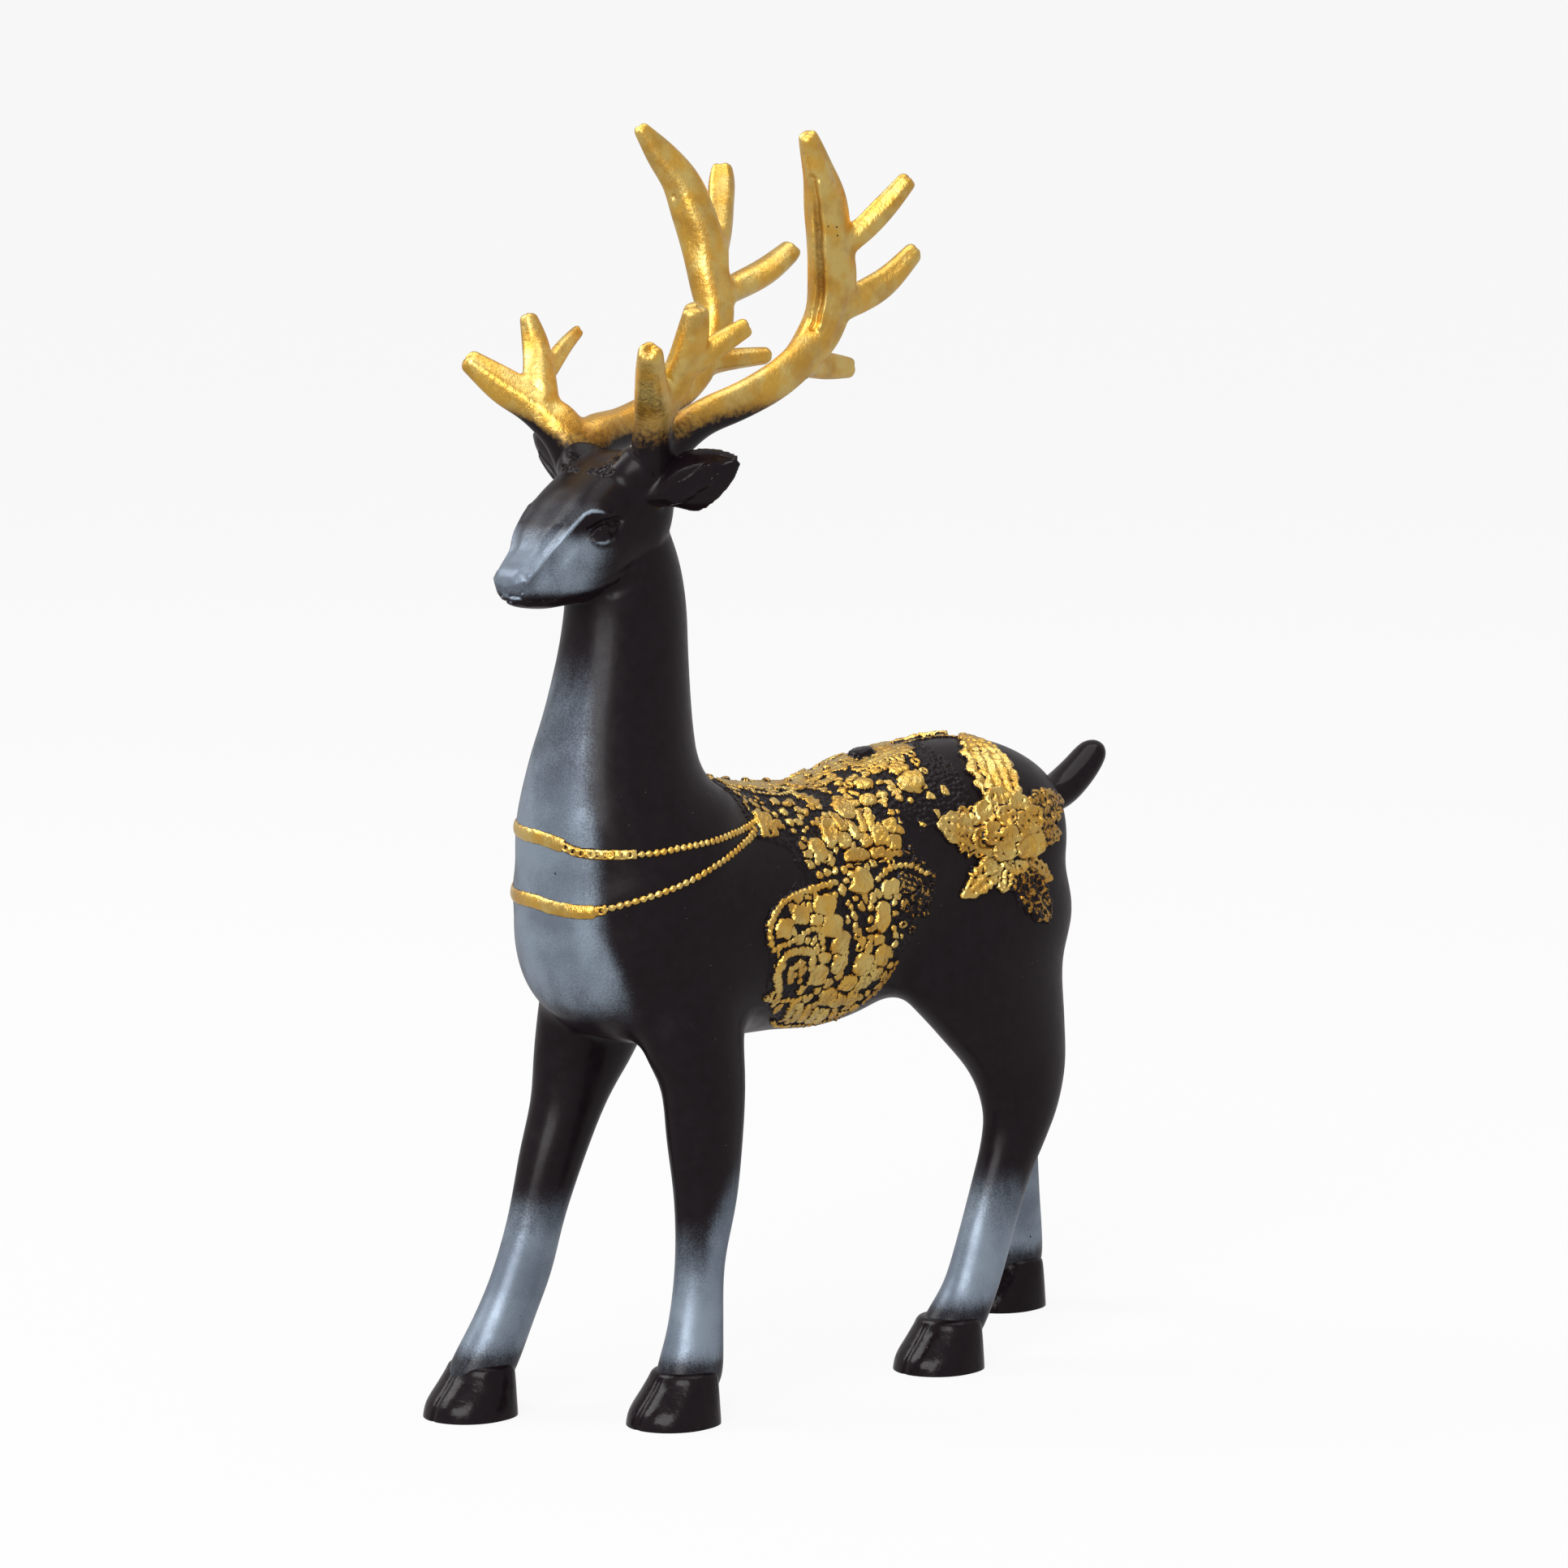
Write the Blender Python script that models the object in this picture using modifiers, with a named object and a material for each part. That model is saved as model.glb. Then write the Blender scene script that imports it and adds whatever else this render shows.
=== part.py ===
"""Standing polyresin stag with gold antlers, a relief saddle, chest chains and hip flowers.

The figurine is one casting. It faces -Y, stands on z = 0, and its left side is +X.
"""

import math

import bmesh
import bpy
from mathutils import Matrix, Vector
from mathutils.bvhtree import BVHTree

# Overall size. The pose is laid out on a grid that is GRID_HEIGHT units tall.
HEIGHT = 0.300
GRID_HEIGHT = 300
UNIT = HEIGHT / GRID_HEIGHT

# Sizes that can be set apart from the height, in metres.
HOOF_LENGTH = 0.0225
HOOF_WIDTH = 0.0208
HOOF_HEIGHT = 0.0115
ANTLER_BEAM_THICKNESS = 0.0100
EAR_LENGTH = 0.0260
EAR_WIDTH = 0.0145
EAR_WALL = 0.0022
TAIL_LENGTH = 0.0260
TAIL_THICKNESS = 0.0085
EYE_DIAMETER = 0.0050
CHAIN_THICKNESS = 0.0026
CLASP_SIZE = 0.0080
CLASP_RELIEF = 0.0018
SADDLE_RELIEF = 0.0014
FLAP_LENGTH = 0.0540
FLAP_DROP = 0.0380
BORDER_THICKNESS = 0.0024
PLATE_SIZE = 0.0078
PLATE_RELIEF = 0.0024
GEM_LENGTH = 0.0105
GEM_RELIEF = 0.0030
PETAL_LENGTH = 0.0125
PETAL_WIDTH = 0.0075
PETAL_RELIEF = 0.0028
LEAF_WIDTH = 0.0085
LEAF_RELIEF = 0.0020

# How finely the casting is meshed.
VOXEL = HEIGHT / 400
TARGET_TRIANGLES = 9700
RING_SIDES = 24
RINGS_BETWEEN = 4
SMOOTH_PASSES = 2
CUT_TOLERANCE = 0.000001

# Body lofts: (x, y, z, half width, half depth) on the grid, from one end to the other.
TRUNK = (
    (0, -72.5, 125.5, 12, 14.5),
    (0, -66, 123.5, 20, 23.5),
    (0, -56.5, 120.5, 26, 30),
    (0, -42, 118, 28, 32),
    (0, -24, 116, 28, 30.6),
    (0, -6, 114.3, 27, 29.9),
    (0, 8, 113.8, 26.5, 29.9),
    (0, 22, 118, 26, 28.7),
    (0, 38, 122.5, 25.5, 27.5),
    (0, 56, 124, 26, 27),
    (0, 68, 122, 25, 25.5),
    (0, 75.5, 119.5, 21, 21.5),
    (0, 82, 118.5, 13, 14.5),
)
FRONT_COLUMN = (
    (0, -43, 88, 18, 18),
    (0, -42, 99, 24, 24),
    (0, -43, 112, 26.5, 28),
    (0, -46.5, 125, 27.5, 31),
    (0, -49.5, 134, 26.5, 29),
    (0, -52.5, 142, 23, 25.5),
    (0, -53.3, 152, 19.3, 21.8),
    (0, -52.2, 163, 16.2, 19.1),
    (0, -50.5, 178, 14, 16.6),
    (0, -49.8, 190, 13, 15.4),
    (0, -51, 200, 12.2, 14.3),
    (0, -52.5, 209, 10.5, 12),
)
HEAD = (
    (0, -86.5, 196.8, 3.2, 2.6),
    (0, -84.8, 197, 5.2, 4.4),
    (0, -81, 197.6, 6.6, 6.1),
    (0, -76, 199, 8.2, 8.2),
    (0, -71, 201.5, 10.8, 10.8),
    (0, -65.5, 204.5, 12.6, 12.4),
    (0, -59, 208.5, 13, 13.6),
    (0, -51, 212, 13, 14.6),
    (0, -45, 212.5, 11, 12.5),
    (0, -40.5, 212, 6.5, 8),
)
HEAD_FLATNESS = 3.4
EYE_SPOT = (12.6, -69, 207.5)
TAIL_ROOT = (0, 82, 132)
LEGS = {
    "fore_left": (
        (14, -44, 112, 10, 15),
        (16, -44.5, 99, 10, 15),
        (17.5, -44.5, 88, 9.2, 13.8),
        (18, -42, 78, 8.4, 11.2),
        (18, -41.5, 66, 7.6, 10.2),
        (18, -41.3, 51, 6.4, 8.3),
        (18, -43.2, 36, 5.6, 6.3),
        (18.5, -45, 22, 6, 7.2),
        (19, -47.5, 11, 7.2, 8.6),
        (19, -48.5, 6, 6, 7),
    ),
    "fore_right": (
        (-14, -44, 112, 10, 15),
        (-16, -45, 97, 10.5, 15.5),
        (-17.5, -47, 84, 9.6, 14.4),
        (-18, -51.8, 72, 8.2, 10.3),
        (-18, -57, 60, 7.3, 8.8),
        (-18, -62.4, 45, 6.1, 7.6),
        (-18.5, -66.8, 32, 6, 8.1),
        (-19, -71.8, 22, 6.3, 8.4),
        (-20, -77.5, 11, 7.2, 9),
        (-20, -79, 6, 6, 7),
    ),
    "hind_left": (
        (14, 58, 124, 11, 20),
        (17.5, 53, 109, 11.5, 26.5),
        (19.3, 47.5, 96, 10.8, 27.2),
        (20, 53.6, 83, 9.6, 21),
        (20, 60, 71, 8.2, 15),
        (20, 61.3, 61, 7.2, 11.3),
        (20, 59, 53, 6.6, 9.4),
        (20, 54.8, 44, 6, 8.3),
        (20, 49.4, 30.5, 5.9, 7.9),
        (20, 44.8, 19.5, 6.3, 7.9),
        (20, 39, 11, 7.2, 8.8),
        (20, 37.5, 6, 6, 7),
    ),
    "hind_right": (
        (-14, 60, 124, 11, 18),
        (-17.5, 62, 109, 11.5, 20),
        (-19, 70, 96, 10.5, 17),
        (-20, 80, 83, 9, 13.2),
        (-20, 89, 71, 7.5, 10.8),
        (-20, 95, 61, 6.8, 9.2),
        (-20, 98, 51, 6.3, 8),
        (-20, 99, 40, 5.9, 7.2),
        (-20, 99.8, 28, 5.9, 7.2),
        (-20, 100, 18, 6.3, 7.8),
        (-20, 98.5, 11, 7.2, 8.8),
        (-20, 97, 6, 6, 7),
    ),
}
EAR_HEIGHTS = {1: 216.3, -1: 218.6}
# Ear: (share of the length, share of the width, share of the wall) from root to tip.
EAR_SHAPE = ((0.0, 0.45, 1.6), (0.2, 0.6, 1.3), (0.42, 0.92, 1.0), (0.66, 1.0, 1.0),
             (0.86, 0.68, 0.9), (1.0, 0.12, 0.5))
# Tail: (share of the length back, share of the length up, share of the thickness).
TAIL_SHAPE = ((0.0, 0.0, 1.0), (0.4, 0.04, 1.05), (0.7, 0.2, 0.98), (0.94, 0.4, 0.8),
              (1.02, 0.48, 0.35))
# Claw of a hoof: shares of (shift back, height, width, length) from the ground up.
CLAW_SHAPE = ((0.02, 0.3, 1.0, 0.47), (0.11, 0.7, 0.96, 0.36), (0.17, 1.0, 0.75, 0.26))
CLAW_WIDTH_SHARE = 0.34
CLAW_APART_SHARE = 0.18
HOOF_SPOTS = {
    "fore_left": (19, -53),
    "fore_right": (-20, -82),
    "hind_left": (20, 33),
    "hind_right": (-20, 95),
}

# Antlers: (x, y, z, thickness as a share of the beam's) for each beam and tine, base to tip.
LEFT_ANTLER = (
    ((11, -51, 219, 1.25), (12, -49, 227, 1.1), (14, -39.5, 233.6, 0.86), (16, -28.5, 237.5, 0.82),
     (18, -17.5, 242.8, 0.86), (19, -9.5, 249, 0.92), (20, -4, 255.5, 0.98), (21.5, -3, 264.5, 1.02),
     (23, -5.5, 274, 1.02), (24.5, -8.5, 284, 0.92), (26, -13.5, 292, 0.7), (27.5, -18, 299.6, 0.4)),
    ((23, -4, 272.5, 0.66), (25.5, 1.5, 276, 0.58), (28, 7, 281.8, 0.56), (31, 12, 288.5, 0.4)),
    ((21, -2, 258.5, 0.72), (21, 4.5, 260, 0.66), (20, 15, 263.8, 0.62), (20, 25, 271, 0.44)),
    ((18, -10, 246, 0.66), (16, -1, 244.5, 0.58), (14, 9.5, 243.5, 0.42)),
    ((12, -52, 224, 1.1), (14, -53.5, 230, 0.95), (18, -57, 237.5, 0.82), (23, -62.5, 244, 0.66),
     (30, -69, 252, 0.36)),
    ((17, -55, 235.5, 0.72), (21, -52.5, 244.5, 0.7), (25, -52, 253, 0.62), (28, -53, 261.5, 0.4)),
    ((22, -51, 246, 0.56), (26, -44.5, 251.5, 0.54), (29, -37.5, 256, 0.42)),
)
RIGHT_ANTLER = (
    ((-11, -54, 219, 1.25), (-12.5, -49, 227.5, 1.15), (-14.5, -37, 230.3, 0.9),
     (-16.5, -24, 234.5, 0.8), (-18, -14, 239.5, 0.82), (-19, -7, 246, 0.86),
     (-20, -3, 254.5, 0.88), (-21.5, -3.5, 263, 0.94), (-23, -4, 271, 1.0),
     (-24, -6, 279, 0.98), (-25.5, -8.7, 286.5, 0.86), (-27, -14.5, 293.5, 0.64),
     (-27.5, -20.5, 300, 0.3)),
    ((-23, -1, 267, 0.72), (-26, 4, 276, 0.7), (-29, 7.5, 284, 0.7), (-31, 9.5, 290, 0.46)),
    ((-21, -3, 258.5, 0.68), (-21, 6, 261.5, 0.64), (-20.5, 15, 265, 0.66),
     (-20, 23, 270, 0.52)),
    ((-18, -9, 243.5, 0.54), (-16, -0.5, 244.5, 0.48), (-14, 9.5, 245, 0.38)),
    ((-12, -53, 223, 1.15), (-15, -55.5, 230, 1.05), (-20, -60, 236.2, 0.88),
     (-25, -66, 241.2, 0.76), (-30, -72.5, 247.3, 0.48)),
    ((-18, -59, 235.5, 0.78), (-22, -56.5, 244, 0.76), (-25, -55, 250, 0.6),
     (-28, -55, 257, 0.38)),
    ((-23, -53.5, 243.5, 0.42), (-26, -46, 248.5, 0.38), (-29, -38, 252.5, 0.24)),
)

# Chains: (degrees round the chest from its front, height on the grid), front to clasp.
CHEST_AXIS = (0, -46)
UPPER_CHAIN = ((0, 139), (25, 136.2), (50, 135.4), (80, 137), (110, 138.2), (135, 139))
LOWER_CHAIN = ((0, 124), (12, 122.2), (27, 121.6), (45, 124.2), (62, 127.6), (83, 132.3), (103, 135.4),
               (130, 138))

# Relief on the trunk is placed by (y on the grid, degrees up from the side of the trunk).
TRUNK_AXIS_HEIGHT = 118
TRUNK_RADIUS = 29
# How far a cord's middle stands off the skin, as a share of its own radius.
CORD_STANDOFF = 0.4
CLASP_SPOT = (-24, 46)
SADDLE_SPOT = (3, 90)
SADDLE_SPAN = (62, 74)
FLAP_SPOT = (-4, -20)
GEM_SPOT = (28, 60)
FLOWER_SPOT = (51, 28)
SADDLE_PLATES = (
    (-26, 70, 1.1), (-17, 62, 1.3), (-8, 72, 1.3), (2, 60, 1.4), (12, 72, 1.3), (18, 55, 1.2),
    (26, 78, 1.2), (8, 44, 1.5), (-4, 47, 1.2), (18, 38, 1.3), (2, 30, 1.5), (14, 22, 1.5),
    (4, 14, 1.3), (-6, 27, 1.0), (24, 26, 1.0),
)
# Plates of the flap in rings: (share of the flap's size, number of plates).
FLAP_PLATE_RINGS = ((0.33, 5), (0.7, 10))
# Leaves: (direction in degrees, reach of the tip from the flower's middle on the grid).
LEAVES = ((111, 30), (171, 22), (229, 22), (280, 19), (300, 26), (16, 23))
LEAF_MIDDLE_SHARE = 0.62
LEAF_LENGTH_SHARE = 0.8
# Petals in rings: (number, distance out as a share of the length, size, lift).
PETAL_RINGS = ((7, 0.62, 1.0, 1.0), (5, 0.3, 0.7, 1.5))


def grid(x, y, z):
    """A place on the figure's own grid, in metres."""
    return Vector((x, y, z)) * UNIT


def clear_scene():
    """Starts from an empty file."""
    for thing in list(bpy.data.objects):
        bpy.data.objects.remove(thing, do_unlink=True)


def smooth_curve(stations, steps):
    """A Catmull-Rom curve through rows of numbers, with the given steps between them."""
    rows = [stations[0], *stations, stations[-1]]
    curve = []
    for before, start, end, after in zip(rows, rows[1:], rows[2:], rows[3:]):
        for step in range(steps):
            t = step / steps
            curve.append([
                0.5 * (2 * b + (c - a) * t + (2 * a - 5 * b + 4 * c - d) * t**2
                       + (3 * b - a - 3 * c + d) * t**3)
                for a, b, c, d in zip(before, start, end, after)
            ])
    curve.append(list(stations[-1]))
    return curve


def ring_frame(centres, index, side):
    """The two directions across a ring: nearly along side, and square to it and the path."""
    ahead = centres[min(index + 1, len(centres) - 1)]
    behind = centres[max(index - 1, 0)]
    tangent = (ahead - behind).normalized()
    across = (side - tangent * side.dot(tangent)).normalized()
    return across, across.cross(tangent)


def bend_power(value, flatness):
    """A sine or cosine pushed outwards, so that a circle turns towards a square."""
    return math.copysign(abs(value) ** (2 / flatness), value)


def loft(body, stations, side=Vector((1, 0, 0)), flat_top=2.0, cup=0.0, level=False):
    """A closed tube through (x, y, z, half width, half depth) rows given in metres."""
    rows = smooth_curve(stations, RINGS_BETWEEN)
    centres = [Vector(row[:3]) for row in rows]
    rings = []
    for index, row in enumerate(rows):
        across, deep = ring_frame(centres, index, side)
        if level:
            across, deep = Vector((1, 0, 0)), Vector((0, 1, 0))
        ring = bmesh.ops.create_circle(body, segments=RING_SIDES, radius=1.0)["verts"]
        for number, vert in enumerate(ring):
            angle = 2 * math.pi * number / RING_SIDES
            wide, tall = math.cos(angle), math.sin(angle)
            if tall > 0:
                wide, tall = bend_power(wide, flat_top), bend_power(tall, flat_top)
            sag = cup * row[4] * math.sin(angle) ** 2
            vert.co = centres[index] + across * (wide * row[3]) + deep * (tall * row[4] - sag)
        rings.append(ring)
    loops = [list({edge for vert in ring for edge in vert.link_edges}) for ring in rings]
    for first, second in zip(loops, loops[1:]):
        bmesh.ops.bridge_loops(body, edges=first + second)
    for loop in (loops[0], loops[-1]):
        bmesh.ops.contextual_create(body, geom=loop)


def on_grid(stations):
    """Grid rows turned to metres."""
    return [[value * UNIT for value in row] for row in stations]


def add_body(casting):
    """Trunk, the column of chest and neck, and the four legs down to the hooves."""
    loft(casting, on_grid(TRUNK))
    loft(casting, on_grid(FRONT_COLUMN))
    for stations in LEGS.values():
        loft(casting, on_grid(stations), level=True)


def add_hoof(casting, spot):
    """One cloven hoof: two claws side by side, flared towards the ground and leaning back."""
    x, y = (value * UNIT for value in spot)
    claw_width = HOOF_WIDTH * CLAW_WIDTH_SHARE
    for side in (-1, 1):
        across = x + side * HOOF_WIDTH * CLAW_APART_SHARE
        claw = [(across, y, -2 * VOXEL, claw_width, HOOF_LENGTH / 2)]
        claw += [
            (across, y + HOOF_LENGTH * back, HOOF_HEIGHT * up, claw_width * wide, HOOF_LENGTH * long)
            for back, up, wide, long in CLAW_SHAPE
        ]
        loft(casting, claw, level=True)


def add_head(casting):
    """The wedge-shaped head with a flat face, and its eyes."""
    loft(casting, on_grid(HEAD), flat_top=HEAD_FLATNESS)
    x, y, z = EYE_SPOT
    for side in (-1, 1):
        eye = grid(side * x, y, z)
        bmesh.ops.create_uvsphere(casting, u_segments=12, v_segments=8, radius=EYE_DIAMETER / 2,
                                  matrix=Matrix.Translation(eye))


def add_ear(casting, side):
    """A broad leaf-shaped cup that opens forwards, from the side of the skull outwards."""
    root = grid(side * 11.5, -50, EAR_HEIGHTS[side])
    outward = Vector((side * 0.94, 0.18, 0.28)).normalized()
    stations = [
        (*(root + outward * EAR_LENGTH * along), EAR_WIDTH / 2 * wide, EAR_WALL / 2 * thick)
        for along, wide, thick in EAR_SHAPE
    ]
    loft(casting, stations, side=Vector((0, 0, side)), cup=1.6)


def add_antler(casting, branches):
    """A beam with its tines, each an oval tube that narrows to a blunt tip."""
    for branch in branches:
        stations = [
            (*grid(x, y, z), ANTLER_BEAM_THICKNESS / 2 * share * 0.94,
             ANTLER_BEAM_THICKNESS / 2 * share * 1.06)
            for x, y, z, share in branch
        ]
        loft(casting, stations)


def add_tail(casting):
    """The short raised tail, a paddle with a round tip."""
    root = grid(*TAIL_ROOT)
    stations = [
        (root.x, root.y + TAIL_LENGTH * back, root.z + TAIL_LENGTH * up,
         TAIL_THICKNESS * 0.62 * thick, TAIL_THICKNESS / 2 * thick)
        for back, up, thick in TAIL_SHAPE
    ]
    loft(casting, stations)


def around_chest(skin, degrees, height):
    """The point of the chest's surface at a bearing from its front and a height on the grid."""
    bearing = math.radians(degrees)
    outward = Vector((math.sin(bearing), -math.cos(bearing), 0))
    axis = grid(*CHEST_AXIS, height)
    point = skin.ray_cast(axis + outward * HEIGHT, -outward)[0]
    return point, outward


def on_trunk(skin, along, degrees):
    """The point of the trunk's surface at a y in metres and an angle up from its left side."""
    angle = math.radians(degrees)
    outward = Vector((math.cos(angle), 0, math.sin(angle)))
    axis = Vector((0, along, TRUNK_AXIS_HEIGHT * UNIT))
    point = skin.ray_cast(axis + outward * HEIGHT, -outward)[0]
    return point, outward


def add_chain(casting, skin, route):
    """A cord round the chest from the right clasp to the left one."""
    both_sides = [(-degrees, height) for degrees, height in reversed(route[1:])] + list(route)
    radius = CHAIN_THICKNESS / 2
    stations = []
    for degrees, height in smooth_curve(both_sides, 2):
        point, outward = around_chest(skin, degrees, height)
        stations.append((*(point + outward * radius * CORD_STANDOFF), radius, radius))
    loft(casting, stations, side=Vector((0, 0, 1)))


def add_applique(casting, skin, side, spot, size, relief, turn=0, taper=0.0, detail=10, boxy=2.0):
    """A raised form with an oval outline, bent to follow the trunk.

    The spot is (y on the grid, degrees), the size (length, width) in metres, and the turn the
    length's direction in degrees, from straight back towards the spine. A taper narrows the far
    end, and boxy above 2 squares the form off.
    """
    length, width = size
    turned = math.radians(turn)
    verts = bmesh.ops.create_uvsphere(casting, u_segments=detail + 2, v_segments=detail,
                                      radius=1.0)["verts"]
    for vert in verts:
        across, out, along = (bend_power(value, boxy) for value in vert.co)
        ahead = along * length / 2
        aside = across * width / 2 * (1 - taper * along)
        back = ahead * math.cos(turned) - aside * math.sin(turned)
        rise = ahead * math.sin(turned) + aside * math.cos(turned)
        degrees = spot[1] + math.degrees(rise / (TRUNK_RADIUS * UNIT))
        point, outward = on_trunk(skin, spot[0] * UNIT + back, degrees if side > 0 else 180 - degrees)
        vert.co = point + outward * relief * out


def add_saddle(casting, skin):
    """The blanket over the back with its plates, clasps and gems."""
    span = [value * UNIT for value in SADDLE_SPAN]
    add_applique(casting, skin, 1, SADDLE_SPOT, span, SADDLE_RELIEF, detail=24)
    for side in (-1, 1):
        add_applique(casting, skin, side, CLASP_SPOT, (CLASP_SIZE, CLASP_SIZE), CLASP_RELIEF,
                     boxy=4.5)
        add_applique(casting, skin, side, GEM_SPOT, (GEM_LENGTH, GEM_LENGTH * 0.7), GEM_RELIEF)
        for y, degrees, share in SADDLE_PLATES:
            size = PLATE_SIZE * share
            add_applique(casting, skin, side, (y, degrees), (size, size * 0.85), PLATE_RELIEF,
                         turn=y * 7, detail=8, boxy=3.5)


def add_flap(casting, skin, side):
    """The rounded flap on a flank: a pad of plates in rows, with a roped border."""
    add_applique(casting, skin, side, FLAP_SPOT, (FLAP_LENGTH, FLAP_DROP), SADDLE_RELIEF, detail=18)
    border = []
    radius = BORDER_THICKNESS / 2
    for step in range(RING_SIDES + 1):
        bearing = 2 * math.pi * step / RING_SIDES
        back = FLAP_LENGTH / 2 * math.cos(bearing)
        rise = FLAP_DROP / 2 * math.sin(bearing)
        degrees = FLAP_SPOT[1] + math.degrees(rise / (TRUNK_RADIUS * UNIT))
        point, outward = on_trunk(skin, FLAP_SPOT[0] * UNIT + back,
                                  degrees if side > 0 else 180 - degrees)
        border.append((*(point + outward * radius * CORD_STANDOFF), radius, radius))
    loft(casting, border, side=Vector((side, 0, 0)))
    for ring, count in FLAP_PLATE_RINGS:
        for number in range(count):
            bearing = 2 * math.pi * number / count
            back = FLAP_LENGTH / 2 * ring * math.cos(bearing) / UNIT
            rise = FLAP_DROP / 2 * ring * math.sin(bearing) / (TRUNK_RADIUS * UNIT)
            spot = (FLAP_SPOT[0] + back, FLAP_SPOT[1] + math.degrees(rise))
            add_applique(casting, skin, side, spot, (PLATE_SIZE, PLATE_SIZE * 0.8), PLATE_RELIEF,
                         turn=math.degrees(bearing), detail=8, boxy=3.5)


def add_flower(casting, skin, side):
    """The layered flower on a hip with its ribbed leaves."""
    y, degrees = FLOWER_SPOT
    for turn, reach in LEAVES:
        bearing = math.radians(turn)
        middle = reach * LEAF_MIDDLE_SHARE
        spot = (y + middle * math.cos(bearing),
                degrees + math.degrees(middle * math.sin(bearing) / TRUNK_RADIUS))
        size = (reach * LEAF_LENGTH_SHARE * UNIT, LEAF_WIDTH)
        add_applique(casting, skin, side, spot, size, LEAF_RELIEF, turn=turn, taper=0.45)
    for count, ring, share, lift in PETAL_RINGS:
        for number in range(count):
            turn = 360 * (number + ring) / count
            bearing = math.radians(turn)
            middle = PETAL_LENGTH * ring / UNIT
            spot = (y + middle * math.cos(bearing),
                    degrees + math.degrees(middle * math.sin(bearing) / TRUNK_RADIUS))
            size = (PETAL_LENGTH * share, PETAL_WIDTH * share)
            add_applique(casting, skin, side, spot, size, PETAL_RELIEF * lift, turn=turn, taper=-0.2)


def pour(casting, form):
    """Adds a finished form to the casting."""
    mesh = bpy.data.meshes.new("form")
    form.to_mesh(mesh)
    form.free()
    casting.from_mesh(mesh)
    bpy.data.meshes.remove(mesh)


def build_casting():
    """Every form of the casting as overlapping closed surfaces."""
    body = bmesh.new()
    add_body(body)
    skin = BVHTree.FromBMesh(body)
    steps = [(add_head,), (add_tail,), (add_saddle, skin)]
    steps += [(add_hoof, spot) for spot in HOOF_SPOTS.values()]
    steps += [(add_antler, branches) for branches in (LEFT_ANTLER, RIGHT_ANTLER)]
    steps += [(add_chain, skin, route) for route in (UPPER_CHAIN, LOWER_CHAIN)]
    for side in (-1, 1):
        steps += [(add_ear, side), (add_flap, skin, side), (add_flower, skin, side)]
    casting = bmesh.new()
    pour(casting, body)
    for add, *details in steps:
        form = bmesh.new()
        add(form, *details)
        pour(casting, form)
    bmesh.ops.recalc_face_normals(casting, faces=casting.faces)
    return casting


def resin_material():
    """Black gloss enamel over polyresin."""
    material = bpy.data.materials.new("painted_polyresin")
    material.use_nodes = True
    shader = material.node_tree.nodes["Principled BSDF"]
    shader.inputs["Base Color"].default_value = (0.012, 0.010, 0.013, 1)
    shader.inputs["Roughness"].default_value = 0.28
    shader.inputs["Metallic"].default_value = 0.0
    return material


def applied(deer):
    """The object's mesh with its modifiers worked in."""
    depsgraph = bpy.context.evaluated_depsgraph_get()
    return bpy.data.meshes.new_from_object(deer.evaluated_get(depsgraph))


def fuse_and_thin(deer):
    """Joins the overlapping forms into one skin and thins its mesh."""
    fuse = deer.modifiers.new("fuse", "REMESH")
    fuse.mode = "VOXEL"
    fuse.voxel_size = VOXEL
    soften = deer.modifiers.new("soften", "SMOOTH")
    soften.iterations = SMOOTH_PASSES
    deer.data = applied(deer)
    deer.modifiers.clear()
    thin = deer.modifiers.new("thin", "DECIMATE")
    triangles = sum(len(face.vertices) - 2 for face in deer.data.polygons)
    thin.ratio = min(1.0, TARGET_TRIANGLES / triangles)
    thin.use_collapse_triangulate = True
    deer.data = applied(deer)
    deer.modifiers.clear()


def cut_soles(deer):
    """Cuts the hooves flat on the ground and sets the figure over its own middle."""
    solid = bmesh.new()
    solid.from_mesh(deer.data)
    geometry = solid.verts[:] + solid.edges[:] + solid.faces[:]
    cut = bmesh.ops.bisect_plane(solid, geom=geometry, dist=CUT_TOLERANCE, plane_co=(0, 0, 0),
                                 plane_no=(0, 0, 1), clear_inner=True)
    rim = [item for item in cut["geom_cut"] if isinstance(item, bmesh.types.BMEdge)]
    bmesh.ops.contextual_create(solid, geom=rim)
    bmesh.ops.triangulate(solid, faces=solid.faces)
    xs = [vert.co.x for vert in solid.verts]
    ys = [vert.co.y for vert in solid.verts]
    middle = Vector(((min(xs) + max(xs)) / 2, (min(ys) + max(ys)) / 2, 0))
    bmesh.ops.translate(solid, verts=solid.verts, vec=-middle)
    solid.to_mesh(deer.data)
    solid.free()


def main():
    clear_scene()
    figurine = bpy.data.collections.new("deer_sculpture")
    bpy.context.scene.collection.children.link(figurine)
    casting = build_casting()
    mesh = bpy.data.meshes.new("deer")
    casting.to_mesh(mesh)
    casting.free()
    deer = bpy.data.objects.new("deer", mesh)
    figurine.objects.link(deer)
    fuse_and_thin(deer)
    cut_soles(deer)
    deer.data.materials.clear()
    deer.data.materials.append(resin_material())


main()
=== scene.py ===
import math
import random

import bmesh
import bpy
import numpy as np
from mathutils import Matrix, Vector
from mathutils.bvhtree import BVHTree


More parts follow.
